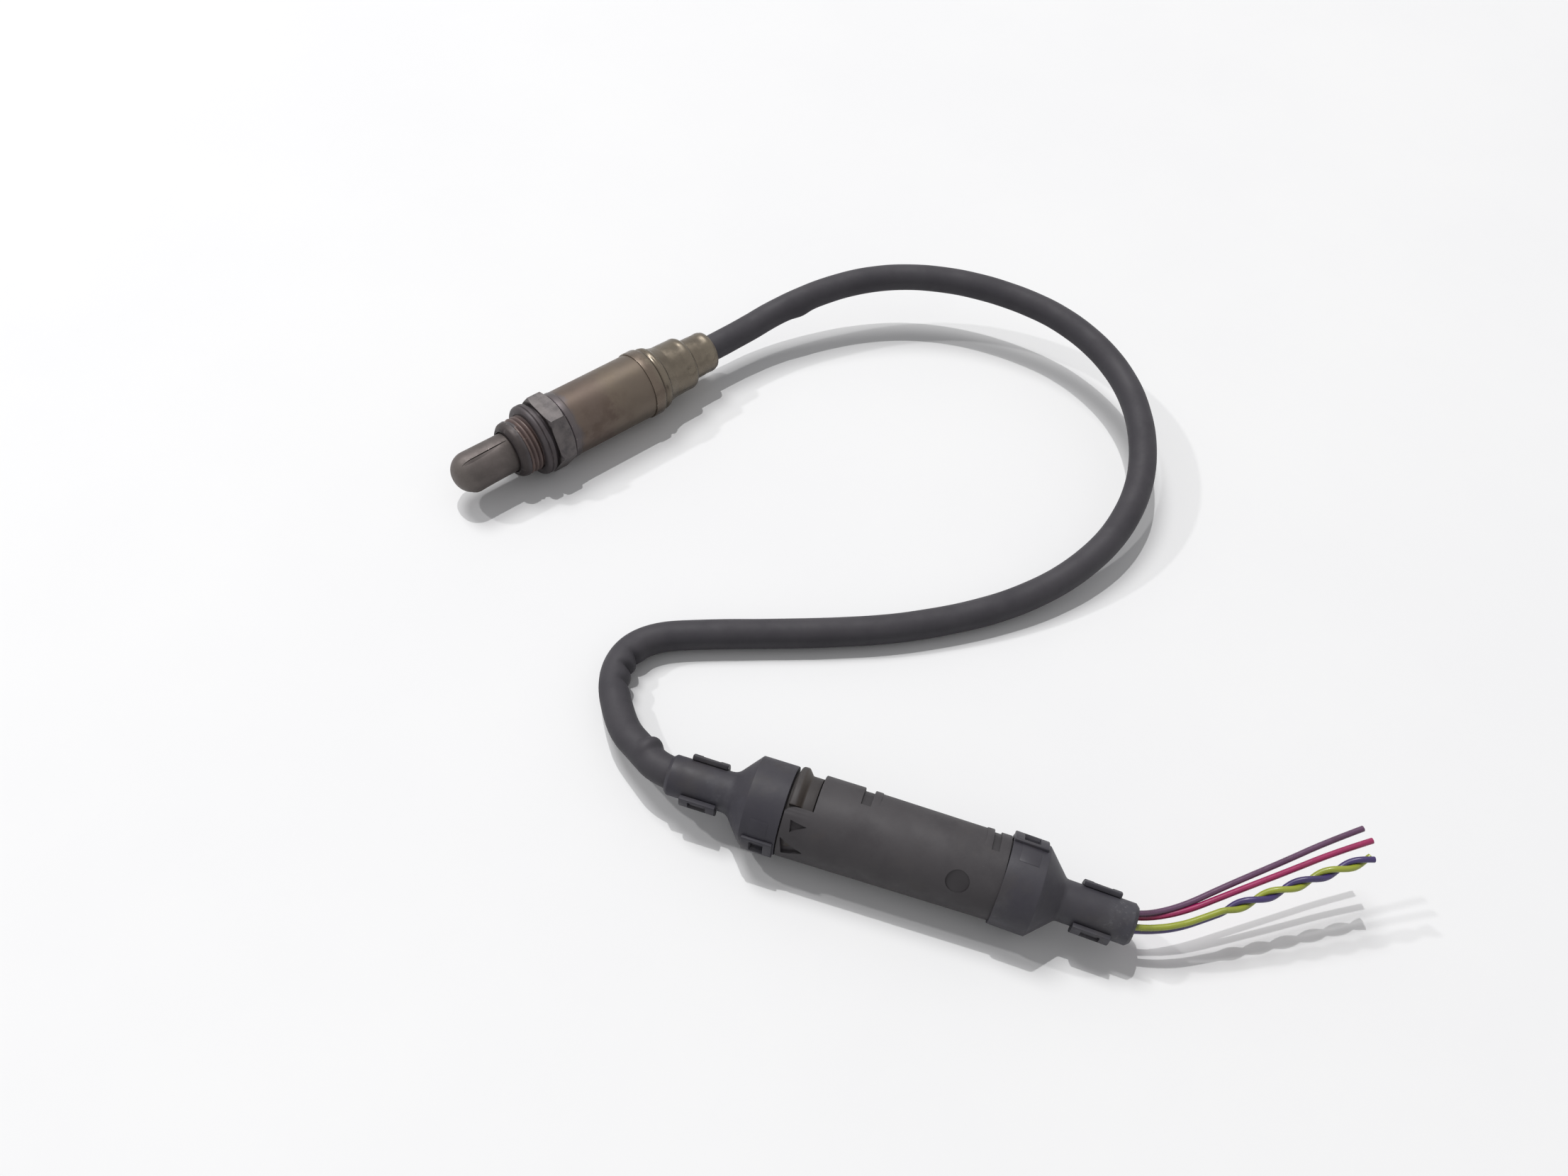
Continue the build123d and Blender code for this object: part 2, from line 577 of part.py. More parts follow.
grommet_start = necking_end + GROMMET_SETBACK
grommet_shoulder = tail_start - REAR_WALL - FIT
grommet_barrel = BARREL_RADIUS - REAR_WALL - FIT
grommet_tail = tail_radius - REAR_WALL - FIT
with BuildPart() as cable_grommet:
    turn(
        sensor,
        [
            (grommet_start, 0), (grommet_start, grommet_barrel), (grommet_shoulder, grommet_barrel),
            (grommet_shoulder, grommet_tail), (grommet_end, grommet_tail), (grommet_end, 0),
        ],
        (0, GROMMET_ROUND, barrel_round - REAR_WALL, 0, TAIL_ROUND - REAR_WALL, 0),
    )
    bars(sensor, LEAD_RADIUS + FIT, grommet_start, grommet_end, LEAD_CIRCLE, LEAD_COUNT,
         mode=Mode.SUBTRACT)
save(cable_grommet, "cable_grommet")

# ---- Terminals and leads in the sensor ------------------------------------------------------------
lead_start = bushing_end - LEAD_SEAT
for number in range(LEAD_COUNT):
    angle = CONTACT_ANGLE + number * 360 / LEAD_COUNT
    terminal_foot = place(sensor, terminal_start, terminal_circle, angle)
    with BuildPart() as terminal:
        with BuildSketch(Plane(origin=terminal_foot, z_dir=sensor.x_dir)):
            Circle(TERMINAL_RADIUS)
        extrude(amount=lead_start - terminal_start)
    save(terminal, f"contact_terminal_{number + 1}")

    with BuildPart() as lead:
        tube(
            [
                place(sensor, lead_start, terminal_circle, angle),
                place(sensor, bushing_end + LEAD_BEND_START, terminal_circle, angle),
                place(sensor, grommet_start - LEAD_BEND_START, LEAD_CIRCLE, angle),
                place(sensor, grommet_end, LEAD_CIRCLE, angle),
            ],
            LEAD_BEND_ROUND,
            LEAD_RADIUS,
        )
    save(lead, f"sensor_lead_{number + 1}")

# ---- Connector: frames and stations -----------------------------------------------------------------
heading = Vector(cos(radians(CONNECTOR_HEADING)), sin(radians(CONNECTOR_HEADING)), 0)
sideways = heading.cross(Vector(0, 0, 1))
roll = radians(CONNECTOR_ROLL)
outer_face = Vector(0, 0, cos(roll)) + sideways * sin(roll)
connector = Plane(origin=(*CONNECTOR_START, COLLAR_RADIUS), x_dir=heading, z_dir=outer_face)

cable_joint = CABLE_NECK_LENGTH + CABLE_CONE_LENGTH + CABLE_COLLAR_LENGTH
coupling_start = cable_joint + COVER_GAP
coupling_end = coupling_start + COUPLING_LENGTH
harness_joint = coupling_end + COVER_GAP

# The harness cover turns about the lower edge of its joint.
pivot = place(connector, harness_joint, COLLAR_RADIUS, -90)
tilted = connector.x_dir.rotate(Axis((0, 0, 0), connector.z_dir), -HARNESS_COVER_TILT)
tilted_side = connector.z_dir.cross(tilted)
harness_cover = Plane(origin=pivot + tilted_side * COLLAR_RADIUS, x_dir=tilted, z_dir=connector.z_dir)
cable_cover = Plane(origin=place(connector, cable_joint), x_dir=-connector.x_dir, z_dir=connector.z_dir)

# ---- Covers: two clamshells, each of an outer and an inner half ---------------------------------------
cover_bore = COLLAR_RADIUS - COVER_WALL
neck_bore = cable_radius + NECK_PLAY
neck_radius = neck_bore + NECK_WALL
hasp_first, hasp_last = HASP_ANGLES
hasp_window_first = hasp_first + HASP_END_BAR_ANGLE
catch_first = hasp_window_first + CATCH_PLAY_ANGLE


def both_sides(first, last):
    """A pair of angles, and its mirror image across the covers' middle."""
    return (first, last), (-last, -first)


def cover_shell(frame, collar, cone, neck, angles):
    """Half of a cover: collar at the joint, cone, and neck with a chamfered mouth."""
    cone_foot = collar + cone
    mouth = cone_foot + neck
    turn(
        frame,
        [
            (0, cover_bore), (0, COLLAR_RADIUS), (collar, COLLAR_RADIUS), (cone_foot, neck_radius),
            (mouth - NECK_CHAMFER, neck_radius), (mouth, neck_radius - NECK_CHAMFER),
            (mouth, neck_bore), (cone_foot, neck_bore), (collar, cover_bore),
        ],
        (0, 0, 0, NECK_FLARE, 0, 0, 0, 0, 0),
        angles,
    )


covers = (
    ("cable_cover", cable_cover, CABLE_COLLAR_LENGTH, CABLE_CONE_LENGTH, CABLE_NECK_LENGTH),
    ("harness_cover", harness_cover, HARNESS_COLLAR_LENGTH, HARNESS_CONE_LENGTH, HARNESS_NECK_LENGTH),
)
for name, frame, collar, cone, neck in covers:
    mouth = collar + cone + neck
    hasp_end = mouth - HASP_SETBACK
    hasp_start = hasp_end - HASP_LENGTH
    hasp_top = neck_radius + HASP_THICKNESS
    hasp_window_start = hasp_start + HASP_BAR
    hasp_window_end = hasp_end - HASP_BAR
    tongue_end = TONGUE_SETBACK + TONGUE_LENGTH
    clamp_end = mouth - CABLE_CLAMP_SETBACK
    grips_cable = frame is cable_cover

    with BuildPart() as outer_half:
        cover_shell(frame, collar, cone, neck, (-90, 90))
        for angles in both_sides(catch_first, catch_first + CATCH_ANGLE):
            band(frame, hasp_window_start + LATCH_PLAY, hasp_window_end - LATCH_PLAY,
                 neck_radius - NECK_WALL / 2, neck_radius + CATCH_HEIGHT, angles)
        band(frame, PANEL_SETBACK, PANEL_SETBACK + PANEL_LENGTH,
             cover_bore, COLLAR_RADIUS + PANEL_HEIGHT, PANEL_ANGLES)
        band(frame, TONGUE_SETBACK, tongue_end, cover_bore, COLLAR_RADIUS + TONGUE_HEIGHT, TONGUE_ANGLES)
        band(frame, TONGUE_SETBACK + TONGUE_BAR, tongue_end - TONGUE_BAR,
             COLLAR_RADIUS - TONGUE_WINDOW_DEPTH, COLLAR_RADIUS + 2 * TONGUE_HEIGHT,
             TONGUE_WINDOW_ANGLES, Mode.SUBTRACT)
        if grips_cable:
            band(frame, clamp_end - CABLE_CLAMP_LENGTH, clamp_end, cable_radius + FIT,
                 neck_bore + NECK_WALL / 2, (-90, 90))
    save(outer_half, f"{name}_outer")

    with BuildPart() as inner_half:
        cover_shell(frame, collar, cone, neck, (90, 270))
        for angles in both_sides(hasp_first, hasp_last):
            band(frame, hasp_start, hasp_end, neck_radius + LATCH_PLAY, hasp_top, angles)
        for angles in both_sides(hasp_last - HASP_ROOT_ANGLE, hasp_last):
            band(frame, hasp_start, hasp_end, neck_radius - NECK_WALL / 2, hasp_top, angles)
        for angles in both_sides(hasp_window_first, hasp_window_first + HASP_WINDOW_ANGLE):
            band(frame, hasp_window_start, hasp_window_end, neck_radius, hasp_top + HASP_THICKNESS,
                 angles, Mode.SUBTRACT)
        if grips_cable:
            band(frame, clamp_end - CABLE_CLAMP_LENGTH, clamp_end, cable_radius + FIT,
                 neck_bore + NECK_WALL / 2, (90, 270))
    save(inner_half, f"{name}_inner")

# ---- Coupling sleeve ------------------------------------------------------------------------------------
mouth_bore = COUPLING_RADIUS - COUPLING_MOUTH_WALL
mouth_end = coupling_start + PLUG_FLANGE_LENGTH + PLUG_FLANGE_PLAY
coupling_bore = COUPLING_RADIUS - COUPLING_TAPER - COUPLING_WALL
window_end = coupling_start + WINDOW_LENGTH
step_end = window_end + STEP_LENGTH
slot_end = step_end + SLOT_WIDTH
ridge_end = slot_end + RIDGE_WIDTH
rear_slot_end = coupling_end - REAR_SLOT_SETBACK
rear_slot_start = rear_slot_end - REAR_SLOT_WIDTH
outside = 2 * COUPLING_RADIUS


def coupling_radius(station):
    """Outer radius of the tapered coupling sleeve."""
    return COUPLING_RADIUS - COUPLING_TAPER * (station - coupling_start) / COUPLING_LENGTH


with BuildPart() as coupling_sleeve:
    turn(
        connector,
        [
            (coupling_start, mouth_bore), (coupling_start, COUPLING_RADIUS),
            (coupling_end, COUPLING_RADIUS - COUPLING_TAPER), (coupling_end, coupling_bore),
            (mouth_end, coupling_bore),
            (mouth_end, mouth_bore),
        ],
    )
    band(connector, window_end, step_end, mouth_bore, COUPLING_RADIUS, SLOT_ANGLES)
    band(connector, slot_end, ridge_end, mouth_bore, COUPLING_RADIUS - RIDGE_SINK, SLOT_ANGLES)
    band(connector, rear_slot_start - REAR_RIDGE_WIDTH, rear_slot_start, coupling_bore,
         coupling_radius(rear_slot_end) + RIDGE_HEIGHT, REAR_SLOT_ANGLES)
    band(connector, coupling_start, window_end, 0, outside, WINDOW_ANGLES, Mode.SUBTRACT)
    band(connector, step_end, slot_end, COUPLING_RADIUS - SLOT_DEPTH, outside, SLOT_ANGLES,
         Mode.SUBTRACT)
    band(connector, rear_slot_start, rear_slot_end,
         coupling_radius(rear_slot_end) - REAR_SLOT_DEPTH, outside, REAR_SLOT_ANGLES, Mode.SUBTRACT)
    dimple_station = coupling_start + DIMPLE_SETBACK
    dimple_floor = coupling_radius(dimple_station) - DIMPLE_DEPTH
    dimple_plane = Plane(
        origin=place(connector, dimple_station, dimple_floor, DIMPLE_ANGLE),
        x_dir=connector.x_dir,
        z_dir=outwards(connector, DIMPLE_ANGLE),
    )
    with BuildSketch(dimple_plane):
        Circle(DIMPLE_RADIUS)
    extrude(amount=COUPLING_RADIUS, mode=Mode.SUBTRACT)
save(coupling_sleeve, "coupling_sleeve")

# ---- Plug side ------------------------------------------------------------------------------------------
flange_stop = coupling_start + PLUG_FLANGE_LENGTH
shroud_end = flange_stop + SHROUD_LENGTH
shroud_radius = coupling_bore - FIT
shroud_bore = shroud_radius - SHROUD_WALL
flange_radius = mouth_bore - FIT
skirt_radius = cover_bore - FIT
skirt_bore = skirt_radius - SKIRT_WALL
rib_radius = COUPLING_RADIUS + RIB_HEIGHT
rib_start = coupling_start + RIB_SETBACK
rib_end = rib_start + RIB_WIDTH

with BuildPart() as plug_housing:
    turn(
        connector,
        [
            (coupling_start - SKIRT_LENGTH, skirt_bore), (coupling_start - SKIRT_LENGTH, skirt_radius),
            (coupling_start, skirt_radius), (coupling_start, flange_radius),
            (flange_stop, flange_radius), (flange_stop, shroud_radius), (shroud_end, shroud_radius),
            (shroud_end, shroud_bore), (flange_stop, shroud_bore), (flange_stop, 0),
            (coupling_start, 0), (coupling_start, WIRE_SEAL_RADIUS),
            (coupling_start - WIRE_SEAL_LENGTH, WIRE_SEAL_RADIUS),
            (coupling_start - WIRE_SEAL_LENGTH, skirt_bore),
        ],
    )
    turn(
        connector,
        [
            (rib_start, flange_radius - SKIRT_WALL), (rib_start, rib_radius), (rib_end, rib_radius),
            (rib_end + RIB_SLOPE, flange_radius), (rib_end + RIB_SLOPE, flange_radius - SKIRT_WALL),
        ],
        angles=(WINDOW_ANGLES[0] + RIB_END_ANGLE, WINDOW_ANGLES[1] - RIB_END_ANGLE),
    )
    bars(connector, PIN_RADIUS + FIT, coupling_start, flange_stop, PIN_CIRCLE, LEAD_COUNT,
         mode=Mode.SUBTRACT)
save(plug_housing, "plug_housing")

with BuildPart() as plug_wire_seal:
    band(connector, coupling_start - WIRE_SEAL_LENGTH, coupling_start, 0, WIRE_SEAL_RADIUS - FIT)
    bars(connector, LEAD_RADIUS + FIT, coupling_start - WIRE_SEAL_LENGTH, coupling_start,
         PIN_CIRCLE, LEAD_COUNT, mode=Mode.SUBTRACT)
save(plug_wire_seal, "plug_wire_seal")

for number in range(LEAD_COUNT):
    angle = CONTACT_ANGLE + number * 360 / LEAD_COUNT
    with BuildPart() as pin:
        with BuildSketch(Plane(origin=place(connector, coupling_start, PIN_CIRCLE, angle),
                               z_dir=connector.x_dir)):
            Circle(PIN_RADIUS)
        extrude(amount=PIN_LENGTH)
    save(pin, f"plug_pin_{number + 1}")

    leaving = CABLE_GRIP + PLUG_LEAD_STRAIGHT
    lead_circle = LEAD_CIRCLE - LEAD_RADIUS
    with BuildPart() as lead:
        tube(
            [
                place(connector, CABLE_GRIP, lead_circle, angle),
                place(connector, leaving, lead_circle, angle),
                place(connector, leaving + PLUG_LEAD_SPREAD, PIN_CIRCLE, angle),
                place(connector, coupling_start, PIN_CIRCLE, angle),
            ],
            PLUG_LEAD_BEND_ROUND,
            LEAD_RADIUS,
        )
    save(lead, f"plug_lead_{number + 1}")

# ---- Socket side ----------------------------------------------------------------------------------------
shoulder = shroud_end + SOCKET_FACE_GAP
nose_start = shoulder - SOCKET_NOSE_LENGTH
nose_radius = shroud_bore - SOCKET_NOSE_GAP
socket_flange = coupling_end + SOCKET_FLANGE_LENGTH
seal_pocket = coupling_end - WIRE_SEAL_LENGTH
slack_radius = skirt_radius - SKIRT_SLACK
terminal_front = nose_start + SOCKET_TERMINAL_SETBACK
pin_tip = coupling_start + PIN_LENGTH

with BuildPart() as socket_housing:
    turn(
        connector,
        [
            (nose_start, 0), (nose_start, nose_radius), (shoulder, nose_radius),
            (shoulder, shroud_radius), (coupling_end, shroud_radius), (coupling_end, slack_radius),
            (coupling_end + SKIRT_LENGTH, slack_radius),
            (coupling_end + SKIRT_LENGTH, slack_radius - SKIRT_WALL),
            (socket_flange, slack_radius - SKIRT_WALL), (socket_flange, WIRE_SEAL_RADIUS),
            (seal_pocket, WIRE_SEAL_RADIUS), (seal_pocket, 0),
        ],
    )
    bars(connector, PIN_RADIUS + FIT, nose_start, terminal_front, PIN_CIRCLE, LEAD_COUNT,
         mode=Mode.SUBTRACT)
    bars(connector, SOCKET_TERMINAL_RADIUS + FIT, terminal_front, seal_pocket, PIN_CIRCLE, LEAD_COUNT,
         mode=Mode.SUBTRACT)
save(socket_housing, "socket_housing")

with BuildPart() as interface_seal:
    band(connector, shoulder - INTERFACE_SEAL_LENGTH, shoulder, nose_radius + FIT, shroud_bore - FIT)
save(interface_seal, "interface_seal")

wire_radius = WIRE_DIAMETER / 2
with BuildPart() as socket_wire_seal:
    band(connector, seal_pocket, coupling_end, 0, WIRE_SEAL_RADIUS - FIT)
    bars(connector, wire_radius + FIT, seal_pocket, coupling_end, PIN_CIRCLE, LEAD_COUNT,
         mode=Mode.SUBTRACT)
save(socket_wire_seal, "socket_wire_seal")

for number in range(LEAD_COUNT):
    angle = CONTACT_ANGLE + number * 360 / LEAD_COUNT
    front = Plane(origin=place(connector, terminal_front, PIN_CIRCLE, angle), z_dir=connector.x_dir)
    with BuildPart() as socket_terminal:
        with BuildSketch(front):
            Circle(SOCKET_TERMINAL_RADIUS)
        extrude(amount=seal_pocket - terminal_front)
        with BuildSketch(front):
            Circle(PIN_RADIUS + FIT)
        extrude(amount=pin_tip - terminal_front, mode=Mode.SUBTRACT)
    save(socket_terminal, f"socket_terminal_{number + 1}")

# ---- Sheathed cable and harness wires -----------------------------------------------------------------------
cable_points = [
    place(sensor, grommet_end),
    place(sensor, sensor_length + CABLE_STRAIGHT),
    *CABLE_ROUTE,
    place(connector, -CABLE_KINK_SETBACK),
    place(connector, CABLE_GRIP),
]
with BuildPart() as sheathed_cable:
    tube(cable_points, cord_radii("sheathed_cable", cable_points, CABLE_DIAMETER), cable_radius)
save(sheathed_cable, "sheathed_cable")

neck_foot = HARNESS_COLLAR_LENGTH + HARNESS_CONE_LENGTH
neck_mouth = neck_foot + HARNESS_NECK_LENGTH
for number, (colour, route) in enumerate(WIRE_ROUTES.items()):
    angle = CONTACT_ANGLE + number * 360 / LEAD_COUNT
    aside, outward = WIRE_OFFSETS[colour]
    offset = harness_cover.y_dir * aside + harness_cover.z_dir * outward
    wire_points = [
        place(connector, seal_pocket, PIN_CIRCLE, angle),
        place(connector, coupling_end + WIRE_SEAL_LENGTH, PIN_CIRCLE, angle),
        place(harness_cover, neck_foot + WIRE_SPREAD_END) + offset,
        place(harness_cover, neck_mouth - WIRE_TURN_SETBACK) + offset,
        *route,
    ]
    with BuildPart() as wire:
        tube(wire_points, cord_radii(f"harness_wire_{colour}", wire_points, WIRE_DIAMETER), wire_radius)
    save(wire, f"harness_wire_{colour}")
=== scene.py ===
import bpy
from math import atan2, cos, exp, hypot, pi, radians, sin, tan
from mathutils import Matrix, Vector, noise


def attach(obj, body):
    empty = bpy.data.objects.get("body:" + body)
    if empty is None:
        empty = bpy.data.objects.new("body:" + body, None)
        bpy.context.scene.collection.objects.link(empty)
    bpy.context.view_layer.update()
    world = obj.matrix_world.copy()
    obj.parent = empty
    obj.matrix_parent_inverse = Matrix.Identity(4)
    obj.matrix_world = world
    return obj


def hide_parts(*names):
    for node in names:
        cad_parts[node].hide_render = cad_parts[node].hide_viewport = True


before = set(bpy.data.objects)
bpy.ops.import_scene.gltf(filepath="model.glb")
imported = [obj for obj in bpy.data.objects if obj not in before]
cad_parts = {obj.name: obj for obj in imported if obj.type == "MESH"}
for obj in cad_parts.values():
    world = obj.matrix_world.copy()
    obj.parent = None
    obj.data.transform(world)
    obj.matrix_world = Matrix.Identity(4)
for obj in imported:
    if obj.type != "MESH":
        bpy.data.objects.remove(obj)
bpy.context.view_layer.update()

# Lengths along an axis are stations in millimetres: from the tip on the sensor, from the
# cable's end on the connector, and from the joint outwards on each cover. Every piece is
# modelled in millimetres about its own axis, then brought to metres and to its place.
MM = 0.001


# ---- Frames ----
class Axis:
    """An axis to build about. Angles about it start at up and grow towards side."""

    def __init__(self, origin, along, up):
        self.origin = Vector(origin)
        self.along = Vector(along).normalized()
        self.up = Vector(up).normalized()
        self.side = self.up.cross(self.along)
        turned = Matrix((self.along, self.side, self.up)).transposed().to_4x4()
        self.matrix = Matrix.Translation(self.origin * MM) @ turned @ Matrix.Scale(MM, 4)

    def spot(self, station, radius=0.0, angle=0.0):
        out = self.up * cos(radians(angle)) + self.side * sin(radians(angle))
        return self.origin + self.along * station + out * radius


COLLAR = 11.7
NECK = 5.4
HEADING = radians(122.4)
ROLL = radians(28.8)
HARNESS_TILT = radians(-2.2)

sensor = Axis((48.15, 0, 11.4), (-1, 0, 0), (0, 0, 1))
heading = Vector((cos(HEADING), sin(HEADING), 0))
outer_face = Vector((0, 0, cos(ROLL))) + heading.cross(Vector((0, 0, 1))) * sin(ROLL)
connector = Axis((59.1, 118.4, COLLAR), heading, outer_face)
cable_cover = Axis(connector.spot(33.0), -heading, outer_face)
tilted = Matrix.Rotation(HARNESS_TILT, 3, outer_face) @ heading
hinge = connector.spot(89.5, COLLAR, -90)
harness_cover = Axis(hinge + outer_face.cross(tilted) * COLLAR, tilted, outer_face)


# ---- Helpers ----
def place_object(name, data):
    thing = bpy.data.objects.new(name, data)
    bpy.context.collection.objects.link(thing)
    return thing


# ---- Camera ----
right = Vector((-0.76289, 0.64249, 0.07217))
upward = Vector((-0.47576, -0.63346, 0.61023))
forward = Vector((-0.43778, -0.43120, -0.78893))
camera_data = bpy.data.cameras.new("camera")
camera = place_object("camera", camera_data)
camera_data.sensor_fit = "HORIZONTAL"
camera_data.sensor_width = 36
camera_data.lens = 32.64
camera_data.clip_start = 0.01
camera_data.clip_end = 20
camera.matrix_world = (
    Matrix.Translation(Vector((0.174107, 0.266453, 0.333271)))
    @ Matrix((right, upward, -forward)).transposed().to_4x4()
)
bpy.context.scene.camera = camera


# ---- Node groups ----
def paint(red, green, blue):
    """Linear colour from display values of 0 to 255."""
    def linear(value):
        value /= 255
        return value / 12.92 if value <= 0.04045 else ((value + 0.055) / 1.055) ** 2.4
    return (linear(red), linear(green), linear(blue), 1)


def add(tree, kind, inputs=(), **settings):
    node = tree.nodes.new(kind)
    for name, value in settings.items():
        setattr(node, name, value)
    for name, value in dict(inputs).items():
        if isinstance(value, bpy.types.NodeSocket):
            tree.links.new(value, node.inputs[name])
        else:
            node.inputs[name].default_value = value
    return node


def maths(tree, operation, *values):
    node = add(tree, "ShaderNodeMath", dict(enumerate(values)), operation=operation)
    return node.outputs[0]


def new_group(name, inputs, outputs):
    group = bpy.data.node_groups.new(name, "ShaderNodeTree")
    for label, value in inputs.items():
        socket = group.interface.new_socket(label, in_out="INPUT", socket_type="NodeSocketFloat")
        socket.default_value = value
    for label in outputs:
        group.interface.new_socket(label, in_out="OUTPUT", socket_type="NodeSocketFloat")
    return group, group.nodes.new("NodeGroupInput").outputs, group.nodes.new("NodeGroupOutput")


def make_patches():
    """Soft uneven patches: 0 to 1."""
    group, given, out = new_group("patches", {"Scale": 60, "Low": 0.4, "High": 0.65}, ["Mask"])
    place = add(group, "ShaderNodeTexCoord").outputs["Object"]
    cloud = add(group, "ShaderNodeTexNoise",
                {"Vector": place, "Scale": given["Scale"], "Detail": 6, "Roughness": 0.62})
    spread = add(group, "ShaderNodeMapRange",
                 {"Value": cloud.outputs["Fac"],
                  "From Min": given["Low"], "From Max": given["High"]},
                 interpolation_type="SMOOTHSTEP")
    group.links.new(spread.outputs[0], out.inputs["Mask"])
    return group


def make_grain():
    """Fine moulded or cast grain, with a few deeper pits."""
    group, given, out = new_group("grain", {"Scale": 1500, "Pits": 0.3}, ["Height"])
    place = add(group, "ShaderNodeTexCoord").outputs["Object"]
    fine = add(group, "ShaderNodeTexNoise",
               {"Vector": place, "Scale": given["Scale"], "Detail": 3, "Roughness": 0.55})
    coarse = maths(group, "MULTIPLY", given["Scale"], 0.22)
    pits = add(group, "ShaderNodeTexVoronoi", {"Vector": place, "Scale": coarse})
    shallow = add(group, "ShaderNodeMapRange",
                  {"Value": pits.outputs["Distance"], "From Min": 0.0, "From Max": 0.35})
    deep = maths(group, "MULTIPLY", shallow.outputs[0], given["Pits"])
    group.links.new(maths(group, "ADD", fine.outputs["Fac"], deep), out.inputs["Height"])
    return group


def break_up(group, mask, given, out, low, high):
    """Put out a mask that is broken by patches."""
    broken = add(group, "ShaderNodeGroup",
                 {"Scale": given["Scale"], "Low": low, "High": high}, node_tree=groups["patches"])
    mixed = maths(group, "MULTIPLY", mask.outputs[0], broken.outputs["Mask"])
    group.links.new(mixed, out.inputs["Mask"])
    return group


def make_dust_and_top_light():
    """Lighter on faces that look up, broken by patches: dust, and painted light from above."""
    group, given, out = new_group("dust_and_top_light", {"Scale": 90, "Reach": 0.2}, ["Mask"])
    surface = add(group, "ShaderNodeNewGeometry")
    facing = add(group, "ShaderNodeSeparateXYZ", {0: surface.outputs["Normal"]})
    top = add(group, "ShaderNodeMapRange",
              {"Value": facing.outputs["Z"], "From Min": given["Reach"], "From Max": 1.0},
              interpolation_type="SMOOTHSTEP")
    return break_up(group, top, given, out, 0.25, 0.7)


def make_edge_wear():
    """Rubbed convex edges."""
    group, given, out = new_group("edge_wear", {"Scale": 250, "Start": 0.53, "End": 0.6}, ["Mask"])
    edge = add(group, "ShaderNodeMapRange",
               {"Value": add(group, "ShaderNodeNewGeometry").outputs["Pointiness"],
                "From Min": given["Start"], "From Max": given["End"]})
    return break_up(group, edge, given, out, 0.3, 0.6)


def make_turning():
    """Fine rings left by turning and drawing, about the sensor's axis."""
    group, given, out = new_group("turning", {"Scale": 900}, ["Height"])
    place = add(group, "ShaderNodeTexCoord").outputs["Object"]
    thin = add(group, "ShaderNodeVectorMath", {0: place, 1: (1, 0.04, 0.04)}, operation="MULTIPLY")
    rings = add(group, "ShaderNodeTexNoise",
                {"Vector": thin.outputs[0], "Scale": given["Scale"],
                 "Detail": 3, "Roughness": 0.6})
    group.links.new(rings.outputs["Fac"], out.inputs["Height"])
    return group


def make_place(name, axis):
    """Station along an axis and distance from it in millimetres, and angle about it in degrees."""
    group, _, out = new_group(name, {}, ["Station", "Radius", "Angle"])
    place = add(group, "ShaderNodeTexCoord").outputs["Object"]
    local = add(group, "ShaderNodeVectorMath", {0: place, 1: tuple(axis.origin * MM)},
                operation="SUBTRACT")
    parts = []
    for direction in (axis.along, axis.up, axis.side):
        part = add(group, "ShaderNodeVectorMath", {0: local.outputs[0], 1: tuple(direction / MM)},
                   operation="DOT_PRODUCT")
        parts.append(part.outputs["Value"])
    flat = add(group, "ShaderNodeCombineXYZ", {"X": parts[1], "Y": parts[2]})
    length = add(group, "ShaderNodeVectorMath", {0: flat.outputs[0]}, operation="LENGTH")
    turn = maths(group, "MULTIPLY", maths(group, "ARCTAN2", parts[2], parts[1]), 180 / pi)
    group.links.new(parts[0], out.inputs["Station"])
    group.links.new(length.outputs["Value"], out.inputs["Radius"])
    group.links.new(turn, out.inputs["Angle"])
    return group


groups = {}
groups["patches"] = make_patches()
groups["grain"] = make_grain()
groups["dust_and_top_light"] = make_dust_and_top_light()
groups["edge_wear"] = make_edge_wear()
groups["turning"] = make_turning()
groups["sensor_place"] = make_place("sensor_place", sensor)
groups["connector_place"] = make_place("connector_place", connector)


